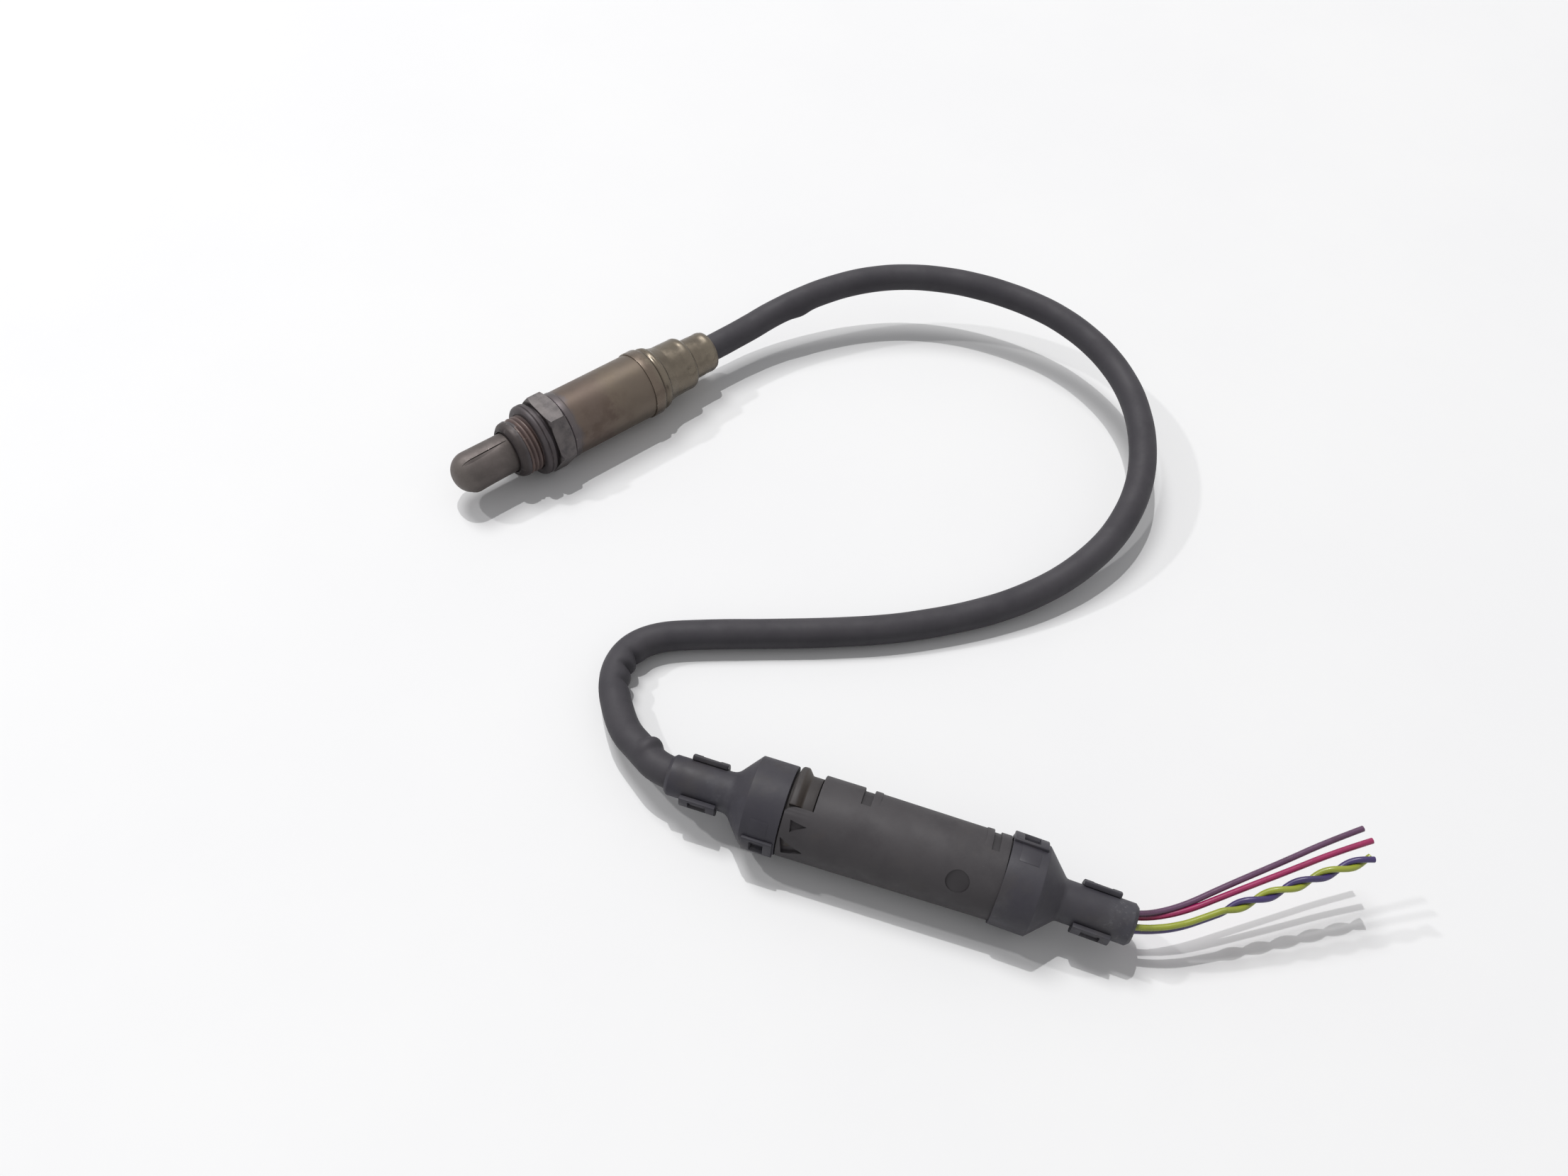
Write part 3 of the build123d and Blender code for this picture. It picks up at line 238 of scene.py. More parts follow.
# ---- Materials ----
class Finish:
    """A material that is built up in layers."""

    def __init__(self, name, colour, roughness, metallic=0.0, specular=0.5, place="sensor_place"):
        self.place = place
        self.material = bpy.data.materials.new(name)
        self.material.use_nodes = True
        self.tree = self.material.node_tree
        self.shader = self.tree.nodes["Principled BSDF"]
        self.shader.inputs["Specular IOR Level"].default_value = specular
        self.shader.inputs["Metallic"].default_value = metallic
        self.shader.inputs["Roughness"].default_value = roughness
        self.shader.inputs["Base Color"].default_value = colour
        self.colour = colour
        self.roughness = roughness
        self.normal = None

    def group(self, name, **values):
        node = add(self.tree, "ShaderNodeGroup", node_tree=groups[name])
        for label, value in values.items():
            node.inputs[label].default_value = value
        return node

    def patches(self, scale, low=0.4, high=0.65):
        return self.group("patches", Scale=scale, Low=low, High=high).outputs["Mask"]

    # Faces that look up: dust, and painted light from above.
    def dust_and_top_light(self, scale, reach):
        return self.group("dust_and_top_light", Scale=scale, Reach=reach).outputs["Mask"]

    def wear(self, scale, start, end):
        return self.group("edge_wear", Scale=scale, Start=start, End=end).outputs["Mask"]

    def along(self, start, end, what="Station", ragged=0.5):
        """0 before a station, radius or angle, 1 past another, ragged between them."""
        place = self.group(self.place).outputs[what]
        width = (end - start) * ragged
        place = self.math("MULTIPLY_ADD", self.patches(170, 0.3, 0.7), width, place)
        ramp = add(self.tree, "ShaderNodeMapRange",
                   {"Value": place, "From Min": start + width / 2, "From Max": end + width / 2},
                   interpolation_type="SMOOTHSTEP")
        return ramp.outputs[0]

    def between(self, start, end, edge, what="Station", ragged=0.5):
        """1 from one station, radius or angle to another, and 0 outside them."""
        rising = self.along(start - edge / 2, start + edge / 2, what, ragged)
        falling = self.along(end + edge / 2, end - edge / 2, what, ragged)
        return self.both(rising, falling)

    def math(self, operation, *values):
        return maths(self.tree, operation, *values)

    def both(self, first, second):
        """Where one mask and the other are."""
        return self.math("MULTIPLY", first, second)

    def tint(self, colour, mask, amount=1.0):
        """Lay a colour over the ones before it."""
        if amount != 1.0:
            mask = self.both(mask, amount)
        mix = add(self.tree, "ShaderNodeMix", {"Factor": mask}, data_type="RGBA")
        first, second = mix.inputs[6], mix.inputs[7]
        if isinstance(self.colour, bpy.types.NodeSocket):
            self.tree.links.new(self.colour, first)
        else:
            first.default_value = self.colour
        second.default_value = colour
        self.colour = mix.outputs[2]
        self.tree.links.new(self.colour, self.shader.inputs["Base Color"])
        return self

    def polish(self, mask, change):
        """Make the finish rougher or smoother where the mask is."""
        self.roughness = self.math("MULTIPLY_ADD", mask, change, self.roughness)
        self.tree.links.new(self.roughness, self.shader.inputs["Roughness"])
        return self

    def relief(self, height, depth):
        """Raise the surface by a height of 0 to 1 times a depth in millimetres."""
        bump = add(self.tree, "ShaderNodeBump",
                   {"Height": height, "Strength": 1.0, "Distance": depth * MM})
        if self.normal is not None:
            self.tree.links.new(self.normal, bump.inputs["Normal"])
        self.normal = bump.outputs["Normal"]
        self.tree.links.new(self.normal, self.shader.inputs["Normal"])
        return self

    def grain(self, scale, depth, pits=0.3):
        return self.relief(self.group("grain", Scale=scale, Pits=pits).outputs["Height"], depth)

    def turning(self, scale, depth):
        return self.relief(self.group("turning", Scale=scale).outputs["Height"], depth)


def wear_and_glint_specks(f, start, end):
    """Small bright specks along an edge of the sensor: bare worn metal on the nose and thread, and
    painted glints on the sleeve's front ring.
    """
    return f.both(f.between(start, end, 0.3, ragged=0.2), f.patches(620, 0.6, 0.68))


def tube_steel():
    """Protective tube: steel greyed by exhaust heat and soot."""
    f = Finish("tube_steel", paint(94, 87, 85), 0.5, metallic=0.7)
    f.tint(paint(74, 69, 67), f.patches(110, 0.4, 0.72), 0.55)
    f.tint(paint(106, 100, 96), f.along(6, 1), 0.45)
    f.tint(paint(58, 52, 50), f.along(13, 18.5), 0.5)
    f.tint(paint(112, 107, 98), f.patches(420, 0.6, 0.8), 0.25)
    # Painted shade: the tube's inner wall and the inner tube are made almost black.
    inside = f.both(f.along(6.2, 6.0, "Radius", 0), f.along(5.0, 5.4, ragged=0))
    f.tint(paint(24, 18, 18), inside, 0.9)
    f.polish(f.patches(420), 0.12)
    return f.turning(1100, 0.008).grain(1900, 0.012).material


def shell_steel():
    """Nose and hexagon: steel with a thin brown-grey scale."""
    f = Finish("shell_steel", paint(74, 70, 72), 0.5, metallic=0.6)
    f.tint(paint(60, 53, 55), f.patches(120, 0.42, 0.7), 0.5)
    # Lighter on faces that look up: dust and a painted highlight.
    f.tint(paint(96, 92, 92), f.dust_and_top_light(120, 0.35), 0.5)
    f.tint(paint(80, 66, 60), f.patches(480, 0.58, 0.76), 0.4)
    f.tint(paint(54, 47, 45), f.along(22.0, 20.4), 0.7)
    # Painted shade: a dark ring where the nose meets the tube.
    f.tint(paint(34, 28, 30), f.along(19.5, 18.9), 0.6)
    f.tint(paint(170, 163, 155), wear_and_glint_specks(f, 20.9, 22.0), 0.9)
    # Painted shade in the gap between the gasket and the hexagon.
    f.tint(paint(34, 27, 30), f.between(29.0, 30.5, 0.2, ragged=0.2), 0.9)
    # Painted shade along the hexagon's rear chamfer, where it meets the sleeve.
    f.tint(paint(50, 44, 47), f.along(36.2, 36.55, ragged=0.2), 0.5)
    f.tint(paint(126, 120, 118), f.wear(260, 0.55, 0.64), 0.4)
    f.polish(f.patches(350), 0.14)
    return f.grain(1500, 0.02, 0.5).material


def thread_steel():
    """Thread: rusty, with its crests a little barer."""
    f = Finish("thread_steel", paint(78, 64, 62), 0.58, metallic=0.35)
    f.tint(paint(100, 74, 64), f.patches(300, 0.45, 0.72), 0.5)
    f.tint(paint(68, 54, 52), f.patches(160, 0.48, 0.74), 0.5)
    f.tint(paint(106, 92, 87), f.along(8.68, 9.0, "Radius"), 0.5)
    f.tint(paint(150, 142, 134), wear_and_glint_specks(f, 21.4, 23.4), 0.6)
    f.polish(f.along(8.7, 9.0, "Radius"), -0.12)
    return f.grain(1800, 0.025, 0.6).material


def gasket_steel():
    """Folded gasket: dull steel, with painted shade in its fold and at its edge beside the
    hexagon.
    """
    f = Finish("gasket_steel", paint(72, 67, 69), 0.52, metallic=0.55)
    f.tint(paint(62, 54, 55), f.patches(170, 0.44, 0.72), 0.6)
    f.tint(paint(84, 68, 60), f.patches(520, 0.6, 0.78), 0.35)
    # Painted shade in the fold.
    f.tint(paint(44, 37, 39), f.between(27.5, 28.0, 0.2, ragged=0.2), 0.5)
    # Painted shade at the edge beside the hexagon.
    f.tint(paint(40, 33, 36), f.along(29.1, 29.45, ragged=0.2), 0.6)
    f.tint(paint(118, 110, 110), f.wear(240, 0.54, 0.62), 0.35)
    return f.grain(1500, 0.02, 0.5).material


def sleeve_steel():
    """Long sleeve: steel tinted brown by heat, bluish beside the hexagon, with painted shade and
    painted glints at its front ring.
    """
    f = Finish("sleeve_steel", paint(99, 89, 80), 0.4, metallic=0.8)
    f.tint(paint(108, 98, 80), f.patches(45, 0.42, 0.66), 0.45)
    f.tint(paint(90, 77, 72), f.along(60, 47), 0.6)
    heat = f.both(f.between(38, 48, 16, ragged=1.5), f.between(-115, -45, 70, "Angle"))
    heat = f.both(heat, f.patches(58, 0.34, 0.6))
    f.tint(paint(72, 57, 51), heat, 0.5)
    f.tint(paint(100, 88, 82), f.patches(60, 0.5, 0.72), 0.3)
    f.tint(paint(86, 82, 85), f.along(41.0, 38.6, ragged=0.9), 0.8)
    # Painted shade where the sleeve meets the hexagon.
    f.tint(paint(58, 51, 56), f.along(37.1, 36.75, ragged=0.2), 0.6)
    # Painted glints on the sleeve's front ring.
    f.tint(paint(158, 152, 150), wear_and_glint_specks(f, 36.75, 37.3), 0.9)
    f.tint(paint(78, 68, 62), f.patches(420, 0.62, 0.8), 0.35)
    f.polish(f.patches(160), 0.12)
    return f.turning(1400, 0.007).grain(2200, 0.006).material


def rear_sleeve_metal():
    """Rear sleeve: nickel-plated, with fine stains and painted shade in its groove."""
    f = Finish("rear_sleeve_metal", paint(107, 99, 88), 0.27, metallic=0.88)
    f.tint(paint(78, 71, 63), f.patches(130, 0.45, 0.72), 0.5)
    f.tint(paint(126, 118, 104), f.patches(60, 0.5, 0.7), 0.35)
    f.tint(paint(98, 86, 78), f.along(72.4, 69.0, ragged=0.8), 0.65)
    f.tint(paint(88, 76, 66), f.patches(520, 0.62, 0.8), 0.45)
    # Painted shade in the groove behind the collar.
    f.tint(paint(74, 66, 58), f.between(71.2, 72.1, 0.5, ragged=0.3), 0.55)
    f.tint(paint(170, 165, 154), f.wear(240, 0.54, 0.62), 0.4)
    f.polish(f.patches(320), 0.16)
    return f.turning(1300, 0.012).grain(1800, 0.008).material


def cable_rubber():
    """Cable sheath: dull black rubber with a violet-grey bloom."""
    f = Finish("cable_rubber", paint(48, 46, 51), 0.6, specular=0.35)
    f.tint(paint(58, 56, 61), f.patches(38, 0.35, 0.7), 0.6)
    # Lighter on faces that look up: dust and a painted top light.
    f.tint(paint(70, 67, 71), f.dust_and_top_light(60, 0.1), 0.5)
    f.tint(paint(112, 108, 106), f.patches(1600, 0.7, 0.82), 0.4)
    f.polish(f.patches(90), 0.1)
    return f.grain(1300, 0.02, 0.4).material


def cover_plastic():
    """Covers: blue-black plastic, rubbed pale in places."""
    f = Finish("cover_plastic", paint(45, 43, 50), 0.5, specular=0.4, place="connector_place")
    f.tint(paint(35, 33, 44), f.patches(42, 0.44, 0.6), 0.7)
    # Lighter on faces that look up: dust and a painted top light.
    f.tint(paint(62, 60, 65), f.dust_and_top_light(60, 0.1), 0.5)
    f.tint(paint(60, 56, 54), f.patches(75, 0.5, 0.68), 0.4)
    # Broad pale patches: painted highlights, laid over the covers as soft patches.
    f.tint(paint(76, 76, 82), f.patches(52, 0.5, 0.7), 0.45)
    rubbed = f.both(f.patches(52, 0.54, 0.68), f.patches(900, 0.52, 0.68))
    f.tint(paint(108, 107, 108), rubbed, 0.4)
    f.polish(f.patches(90), 0.12)
    return f.grain(1500, 0.018, 0.4).material


def coupling_plastic():
    """Coupling sleeve: greyed plastic, lighter on top with dust and a painted top light, with
    painted shade in its recesses.
    """
    f = Finish("coupling_plastic", paint(46, 43, 46), 0.56, specular=0.4, place="connector_place")
    f.tint(paint(57, 54, 56), f.patches(40, 0.38, 0.7), 0.5)
    # Lighter on faces that look up: dust and a painted top light.
    f.tint(paint(74, 71, 73), f.dust_and_top_light(50, 0.15), 0.55)
    f.tint(paint(70, 63, 58), f.patches(70, 0.55, 0.75), 0.3)
    f.tint(paint(40, 35, 38), f.patches(150, 0.58, 0.78), 0.3)
    f.tint(paint(94, 90, 89), f.patches(1300, 0.68, 0.78), 0.3)
    # Painted shade on the floors of the slots and of the dimple.
    for start, end, floor_radius in ((50.6, 53.5, 10.9), (75.4, 82.0, 10.96), (84.5, 86.7, 10.7)):
        recess_shade = f.both(f.between(start, end, 0.1, ragged=0),
                      f.along(floor_radius + 0.05, floor_radius, "Radius", 0))
        f.tint(paint(30, 27, 30), recess_shade, 0.65)
    f.polish(f.patches(120), 0.1)
    return f.grain(1200, 0.022, 0.4).material


def plug_plastic():
    """Plug and socket bodies: grey-brown plastic with dirt behind the rib."""
    f = Finish("plug_plastic", paint(50, 46, 46), 0.58, specular=0.4, place="connector_place")
    f.tint(paint(66, 62, 60), f.patches(240, 0.4, 0.7), 0.5)
    f.tint(paint(52, 44, 38), f.between(35.5, 37.2, 0.7), 0.75)
    crumbs = f.both(f.between(35.3, 37.4, 0.8), f.patches(260, 0.5, 0.7))
    f.tint(paint(66, 58, 50), crumbs, 0.6)
    return f.grain(1200, 0.025, 0.5).material


def wire_skin(name, colour, dark, pale):
    """Harness wire insulation: glossy, thinly soiled."""
    f = Finish(name, colour, 0.26, specular=0.6)
    f.tint(dark, f.patches(140, 0.45, 0.72), 0.5)
    f.tint(pale, f.patches(900, 0.66, 0.82), 0.3)
    f.polish(f.patches(500), 0.16)
    return f.grain(2200, 0.006, 0.2).material


def plain_ceramic(name, colour, soiled):
    """Fired ceramic: matt, faintly mottled."""
    f = Finish(name, colour, 0.7, specular=0.4)
    f.tint(soiled, f.patches(300, 0.42, 0.7), 0.5)
    return f.grain(2400, 0.015, 0.4).material


def contact_metal():
    """Pins and terminals: tin-plated."""
    f = Finish("contact_metal", paint(176, 170, 158), 0.28, metallic=1.0)
    f.tint(paint(132, 122, 106), f.patches(500, 0.45, 0.7), 0.5)
    f.polish(f.patches(700), 0.16)
    return f.grain(2400, 0.006, 0.2).material


def soft_rubber(name, colour, bloom):
    """Seals and lead insulation: plain elastomer."""
    f = Finish(name, colour, 0.55, specular=0.4)
    f.tint(bloom, f.patches(260, 0.45, 0.7), 0.5)
    f.polish(f.patches(500), 0.12)
    return f.grain(1800, 0.012, 0.3).material


finishes = {
    "tube_steel": tube_steel(),
    "shell_steel": shell_steel(),
    "gasket_steel": gasket_steel(),
    "sleeve_steel": sleeve_steel(),
    "rear_sleeve_metal": rear_sleeve_metal(),
    "zirconia": plain_ceramic("zirconia", paint(206, 198, 182), paint(150, 140, 124)),
    "alumina": plain_ceramic("alumina", paint(228, 226, 220), paint(196, 190, 180)),
    "packing_powder": plain_ceramic("packing_powder", paint(150, 146, 138),
                                    paint(110, 105, 98)),
    "contact_metal": contact_metal(),
    "lead_insulation": soft_rubber("lead_insulation", paint(170, 166, 158),
                                   paint(130, 124, 116)),
    "seal_rubber": soft_rubber("seal_rubber", paint(74, 66, 60), paint(96, 88, 80)),
    "cable_sheath": cable_rubber(),
    "connector_plastic": coupling_plastic(),
    "plug_plastic": plug_plastic(),
}
WIRE_COLOURS = {
    "violet": (paint(86, 48, 82), paint(58, 26, 46), paint(140, 112, 138)),
    "magenta": (paint(150, 13, 82), paint(108, 14, 58), paint(200, 130, 164)),
    "blue": (paint(50, 31, 92), paint(28, 16, 46), paint(104, 90, 140)),
    "green": (paint(146, 155, 42), paint(108, 116, 34), paint(200, 206, 132)),
}
for colour, shades in WIRE_COLOURS.items():
    finishes[f"wire_{colour}"] = wire_skin(f"wire_{colour}", *shades)
thread_finish = thread_steel()
cover_finish = cover_plastic()


# ---- Modelling ----
WELD = 0.0005                     # points closer than this become one


def pick(piece):
    bpy.ops.object.select_all(action="DESELECT")
    piece.select_set(True)
    bpy.context.view_layer.objects.active = piece


def apply_modifier(piece, kind, **settings):
    pick(piece)
    modifier = piece.modifiers.new(kind.lower(), kind)
    for name, value in settings.items():
        setattr(modifier, name, value)
    bpy.ops.object.modifier_apply(modifier=modifier.name)


def rounded(corners, steps):
    """Outline points, with each (station, radius, rounding) corner made an arc."""
    points = []
    count = len(corners)
    for number, corner in enumerate(corners):
        here = Vector(corner[:2])
        rounding = corner[2] if len(corner) > 2 else 0
        if not rounding:
            points.append(here)
            continue
        before = (Vector(corners[number - 1][:2]) - here).normalized()
        after = (Vector(corners[(number + 1) % count][:2]) - here).normalized()
        half = before.angle(after) / 2
        reach = rounding / tan(half)
        middle = here + (before + after).normalized() * rounding / sin(half)
        first = here + before * reach - middle
        last = here + after * reach - middle
        for step in range(steps + 1):
            share = step / steps
            arm = first.slerp(last, share) if first.angle(last) > 1e-4 else first
            points.append(middle + arm.normalized() * rounding)
    return points


def cylinder(**settings):
    bpy.ops.object.select_all(action="DESELECT")
    bpy.ops.mesh.primitive_cylinder_add(**settings)
    return bpy.context.object


def face_outwards():
    """Turn every face of the mesh in edit mode outwards, and leave edit mode."""
    bpy.ops.mesh.select_all(action="SELECT")
    bpy.ops.mesh.normals_make_consistent(inside=False)
    bpy.ops.object.mode_set(mode="OBJECT")


def draw(name, points, angle=0.0, closed=True):
    """Extrude a single vertex along an outline of (station, radius) points."""
    turn = radians(angle)
    spots = [Vector((station, radius * sin(turn), radius * cos(turn)))
             for station, radius in points]
    bpy.ops.object.select_all(action="DESELECT")
    bpy.ops.mesh.primitive_plane_add(size=1)
    piece = bpy.context.object
    piece.name = name
    piece.data.name = name
    bpy.ops.object.mode_set(mode="EDIT")
    bpy.ops.mesh.select_all(action="SELECT")
    bpy.ops.mesh.merge(type="CENTER")
    bpy.ops.transform.translate(value=spots[0])
    for here, there in zip(spots, spots[1:] + spots[:1] if closed else spots[1:]):
        bpy.ops.mesh.extrude_region_move(TRANSFORM_OT_translate={"value": there - here})
    bpy.ops.mesh.select_all(action="SELECT")
    bpy.ops.mesh.remove_doubles(threshold=WELD)
    return piece


def turned(name, corners, angles=None, closed=True, facets=96, steps=5):
    """Spin an outline about its axis, all the way or from one angle to another."""
    first, last = angles or (0, 360)
    piece = draw(name, rounded(corners, steps), first, closed)
    bpy.ops.mesh.select_all(action="SELECT")
    if angles:
        bpy.ops.mesh.edge_face_add()
    count = max(2, round(facets * (last - first) / 360))
    bpy.ops.mesh.spin(steps=count, angle=radians(last - first),
                      center=(0, 0, 0), axis=(1, 0, 0))
    bpy.ops.mesh.select_all(action="SELECT")
    bpy.ops.mesh.remove_doubles(threshold=WELD)
    if angles:
        bpy.ops.mesh.select_all(action="DESELECT")
        bpy.ops.mesh.select_non_manifold(use_multi_face=False, use_verts=False, use_wire=False)
        bpy.ops.mesh.edge_face_add()
    face_outwards()
    return piece


def band(name, start, end, inside, outside, angles, facets=96):
    """Part of a ring between two stations and two radii."""
    return turned(name, [(start, inside), (start, outside), (end, outside), (end, inside)],
                  angles, facets=facets)


def cut(piece, cutter, operation="DIFFERENCE"):
    apply_modifier(piece, "BOOLEAN", object=cutter, operation=operation, solver="EXACT")
    bpy.data.objects.remove(cutter)


def soften(piece, width, segments=3, angle=32):
    apply_modifier(piece, "BEVEL", width=width, segments=segments, limit_method="ANGLE",
                   angle_limit=radians(angle), use_clamp_overlap=True)
    return piece


def joined(piece, *others):
    pick(piece)
    for other in others:
        other.select_set(True)
    bpy.ops.object.join()
    return piece


def install(piece, axis, slot, *nodes, material=None, smooth=32):
    """Bring a finished piece to its place, and give it its finish."""
    pick(piece)
    piece.matrix_world = axis.matrix
    bpy.ops.object.transform_apply(location=True, rotation=True, scale=True)
    bpy.ops.object.shade_smooth_by_angle(angle=radians(smooth))
    piece.data.materials.clear()
    piece.data.materials.append(material or finishes[slot])
    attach(piece, "root")
    if nodes:
        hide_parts(*nodes)


# ---- Protective tube ----
TUBE_RADIUS = 6.35
TIP_ROUNDING = 5.8
LOUVRE_COUNT = 3
LOUVRE_FIRST = -10                # angle of the first louvre
LOUVRE_START = 2.6
LOUVRE_MIDDLE = 10.5
LOUVRE_END = 18.4
LOUVRE_STEPS = 16
LOUVRE_REACH = 2.6                # degrees from an opening's middle to its edge
LOUVRE_SKEW = 0.27                # degrees a millimetre
LIP_ANGLE = 9.0                   # degrees from a lip's edge to its foot
LIP_EDGE = 2.5                    # degrees from an opening's middle to its lip


def tube_radius(station):
    """The tube's radius, smaller where its tip is rounded."""
    short = max(TIP_ROUNDING - station, 0)
    return TUBE_RADIUS - TIP_ROUNDING + (TIP_ROUNDING ** 2 - short ** 2) ** 0.5


def polar(y, z):
    """Angle from the up side in degrees, and distance from the axis."""
    return atan2(y, z) * 180 / pi, hypot(y, z)


def louvre_strip(name, outline, angles):
    """Turned strip that is fine enough to bend along a louvre."""
    return turned(name, outline, angles, facets=720)


def lay_on_tube(piece, middle, shape):
    """Move a strip's vertices: shape gives the new angle and radius of (share, angle, radius)."""
    for vertex in piece.data.vertices:
        x, y, z = vertex.co
        share = (x - LOUVRE_START) / (LOUVRE_END - LOUVRE_START)
        angle, radius = shape(share, *polar(y, z))
        angle = radians(angle + middle + LOUVRE_SKEW * (x - LOUVRE_MIDDLE))
        vertex.co = (x, radius * sin(angle), radius * cos(angle))


def swell(share):
    """1 at the middle of a louvre and 0 at both its ends."""
    return max(1 - (2 * share - 1) ** 2, 0) ** 0.6


def louvre_shape(share, angle, radius):
    """The opening is widest at its middle and almost closes at both ends."""
    return angle * (0.12 + 0.88 * swell(share)), radius


def lip_shape(share, angle, radius):
    """The lip stands proud beside the opening and sinks into the tube away from it."""
    away = min(max(-angle / LIP_ANGLE, 0), 1)
    edge = LIP_EDGE * swell(share)
    surface = tube_radius(LOUVRE_START + share * (LOUVRE_END - LOUVRE_START))
    if radius > TUBE_RADIUS - 0.1:
        return angle - edge, surface - 0.06 + (radius - TUBE_RADIUS + 0.05) * (1 - away) ** 0.9
    return angle - edge, surface - 0.3


tube = turned("outer_tube", [
    (0, 0), (0, TUBE_RADIUS, TIP_ROUNDING), (22.0, TUBE_RADIUS), (22.0, 7.25), (22.7, 7.25),
    (22.7, 5.85), (0.5, 5.85, 5.3), (0.5, 0),
], closed=False, facets=128, steps=14)
stations = [LOUVRE_START + (LOUVRE_END - LOUVRE_START) * step / LOUVRE_STEPS
            for step in range(LOUVRE_STEPS + 1)]
# How far a lip stands proud at each station.
lip_rise = [0.0, 0.2, 0.34, 0.38, 0.34, 0.29, 0.24, 0.2, 0.17, 0.14, 0.12, 0.1, 0.08, 0.06,
            0.04, 0.02, 0.0]
opening_outline = [(s, 4.0) for s in stations] + [(s, 7.4) for s in reversed(stations)]
lip_outline = [(s, 6.0) for s in stations] + [
    (s, TUBE_RADIUS - 0.05 + rise) for s, rise in zip(reversed(stations), reversed(lip_rise))]
lips = []
for louvre in range(LOUVRE_COUNT):
    middle = LOUVRE_FIRST + louvre * 120
    opening = louvre_strip("louvre_opening", opening_outline, (-LOUVRE_REACH, LOUVRE_REACH))
    lay_on_tube(opening, middle, louvre_shape)
    cut(tube, opening)
    lip = louvre_strip("lip", lip_outline, (-LIP_ANGLE, 0))
    lay_on_tube(lip, middle, lip_shape)
    lips.append(lip)
install(joined(tube, *lips), sensor, "tube_steel", "protective_tube", smooth=40)

# ---- Threaded shell ----
HEXAGON_WIDTH = 22
HEXAGON_DEPTH = 6.2
HEXAGON_MIDDLE = 33.5
THREAD_PITCH = 1.5
THREAD_END = 26.7

shell = turned("shell", [
    (18.8, 6.75), (18.8, 7.5, 0.4), (20.0, 8.75, 1.6), (21.7, 9.0, 0.15), (22.2, 8.4),
    (29.5, 8.4), (29.5, 10.3, 0.1), (31.0, 10.3), (31.0, 9.8), (41.5, 10.1), (41.5, 7.0),
    (26.4, 7.0), (26.4, 5.2), (23.4, 5.2), (23.4, 7.35), (22.0, 7.35), (22.0, 6.42),
    (20.2, 6.42), (20.2, 6.75),
], facets=112)
hexagon = cylinder(vertices=6, radius=HEXAGON_WIDTH / 3 ** 0.5, depth=HEXAGON_DEPTH,
                   location=(HEXAGON_MIDDLE, 0, 0), rotation=(0, pi / 2, 0))
hexagon.name = "hexagon"
bpy.ops.object.transform_apply(location=True, rotation=True, scale=True)
cut(hexagon, turned("chamfers", [
    (30.4, 7.1), (30.4, 11.5), (31.0, 12.72), (35.4, 12.72), (36.6, 10.7), (36.6, 7.1),
], facets=144), "INTERSECT")
soften(hexagon, 0.22, 3, 14)
install(joined(shell, hexagon), sensor, "shell_steel", "threaded_shell", smooth=28)

ridge = draw("thread_ridge", [
    (21.4, 8.0), (21.4, 8.42), (21.85, 8.86), (22.02, 8.96), (22.15, 8.99),
    (22.28, 8.96), (22.45, 8.86), (22.9, 8.42), (22.9, 8.0),
])
bpy.ops.object.mode_set(mode="OBJECT")
apply_modifier(ridge, "SCREW", axis="X", screw_offset=THREAD_PITCH, steps=112, render_steps=112,
               iterations=4, use_merge_vertices=False, use_normal_calculate=True)
bpy.ops.object.mode_set(mode="EDIT")
bpy.ops.mesh.select_all(action="SELECT")
bpy.ops.mesh.remove_doubles(threshold=WELD)
bpy.ops.mesh.bisect(plane_co=(THREAD_END, 0, 0), plane_no=(1, 0, 0), clear_outer=True,
                    use_fill=True)
face_outwards()
install(ridge, sensor, "shell_steel", material=thread_finish, smooth=40)

# ---- Gasket ----
gasket = turned("gasket", [
    (26.9, 8.45), (26.2, 9.15, 0.15), (26.2, 11.4, 1.3), (27.5, 11.4, 0.2), (27.75, 11.1, 0.1),
    (28.0, 11.4, 0.25), (29.5, 11.4, 0.7), (29.5, 8.45),
], facets=112)
install(gasket, sensor, "gasket_steel", "sealing_gasket", smooth=40)

# ---- Sleeves ----
CRIMP_COUNT = 6
BARREL_RADIUS = 8.75
TAIL_RADIUS = 6.75

sleeve = turned("long_sleeve", [
    (36.55, 10.15), (36.55, 10.5), (36.64, 10.5), (36.64, 10.85, 0.2), (38.7, 10.8, 0.4),
    (39.0, 10.65, 0.4), (70.7, 10.65), (70.7, 10.15),
], facets=128)
install(sleeve, sensor, "sleeve_steel", "main_sleeve")


def press(piece, station, surface, spread, depth):
    """Push round crimps into a turned surface."""
    for vertex in piece.data.vertices:
        x, y, z = vertex.co
        radius = (y * y + z * z) ** 0.5
        if radius < surface - 1.6 or abs(x - station) > 3 * spread:
            continue
        for number in range(CRIMP_COUNT):
            angle = radians(number * 360 / CRIMP_COUNT)
            out = Vector((0, sin(angle), cos(angle)))
            across = (Vector((0, y, z)) - out * vertex.co.dot(out)).length
            if vertex.co.dot(out) > 0:
                push = depth * exp(-((x - station) ** 2 + across ** 2) / (2 * spread ** 2))
                vertex.co -= Vector((0, y, z)) / radius * push


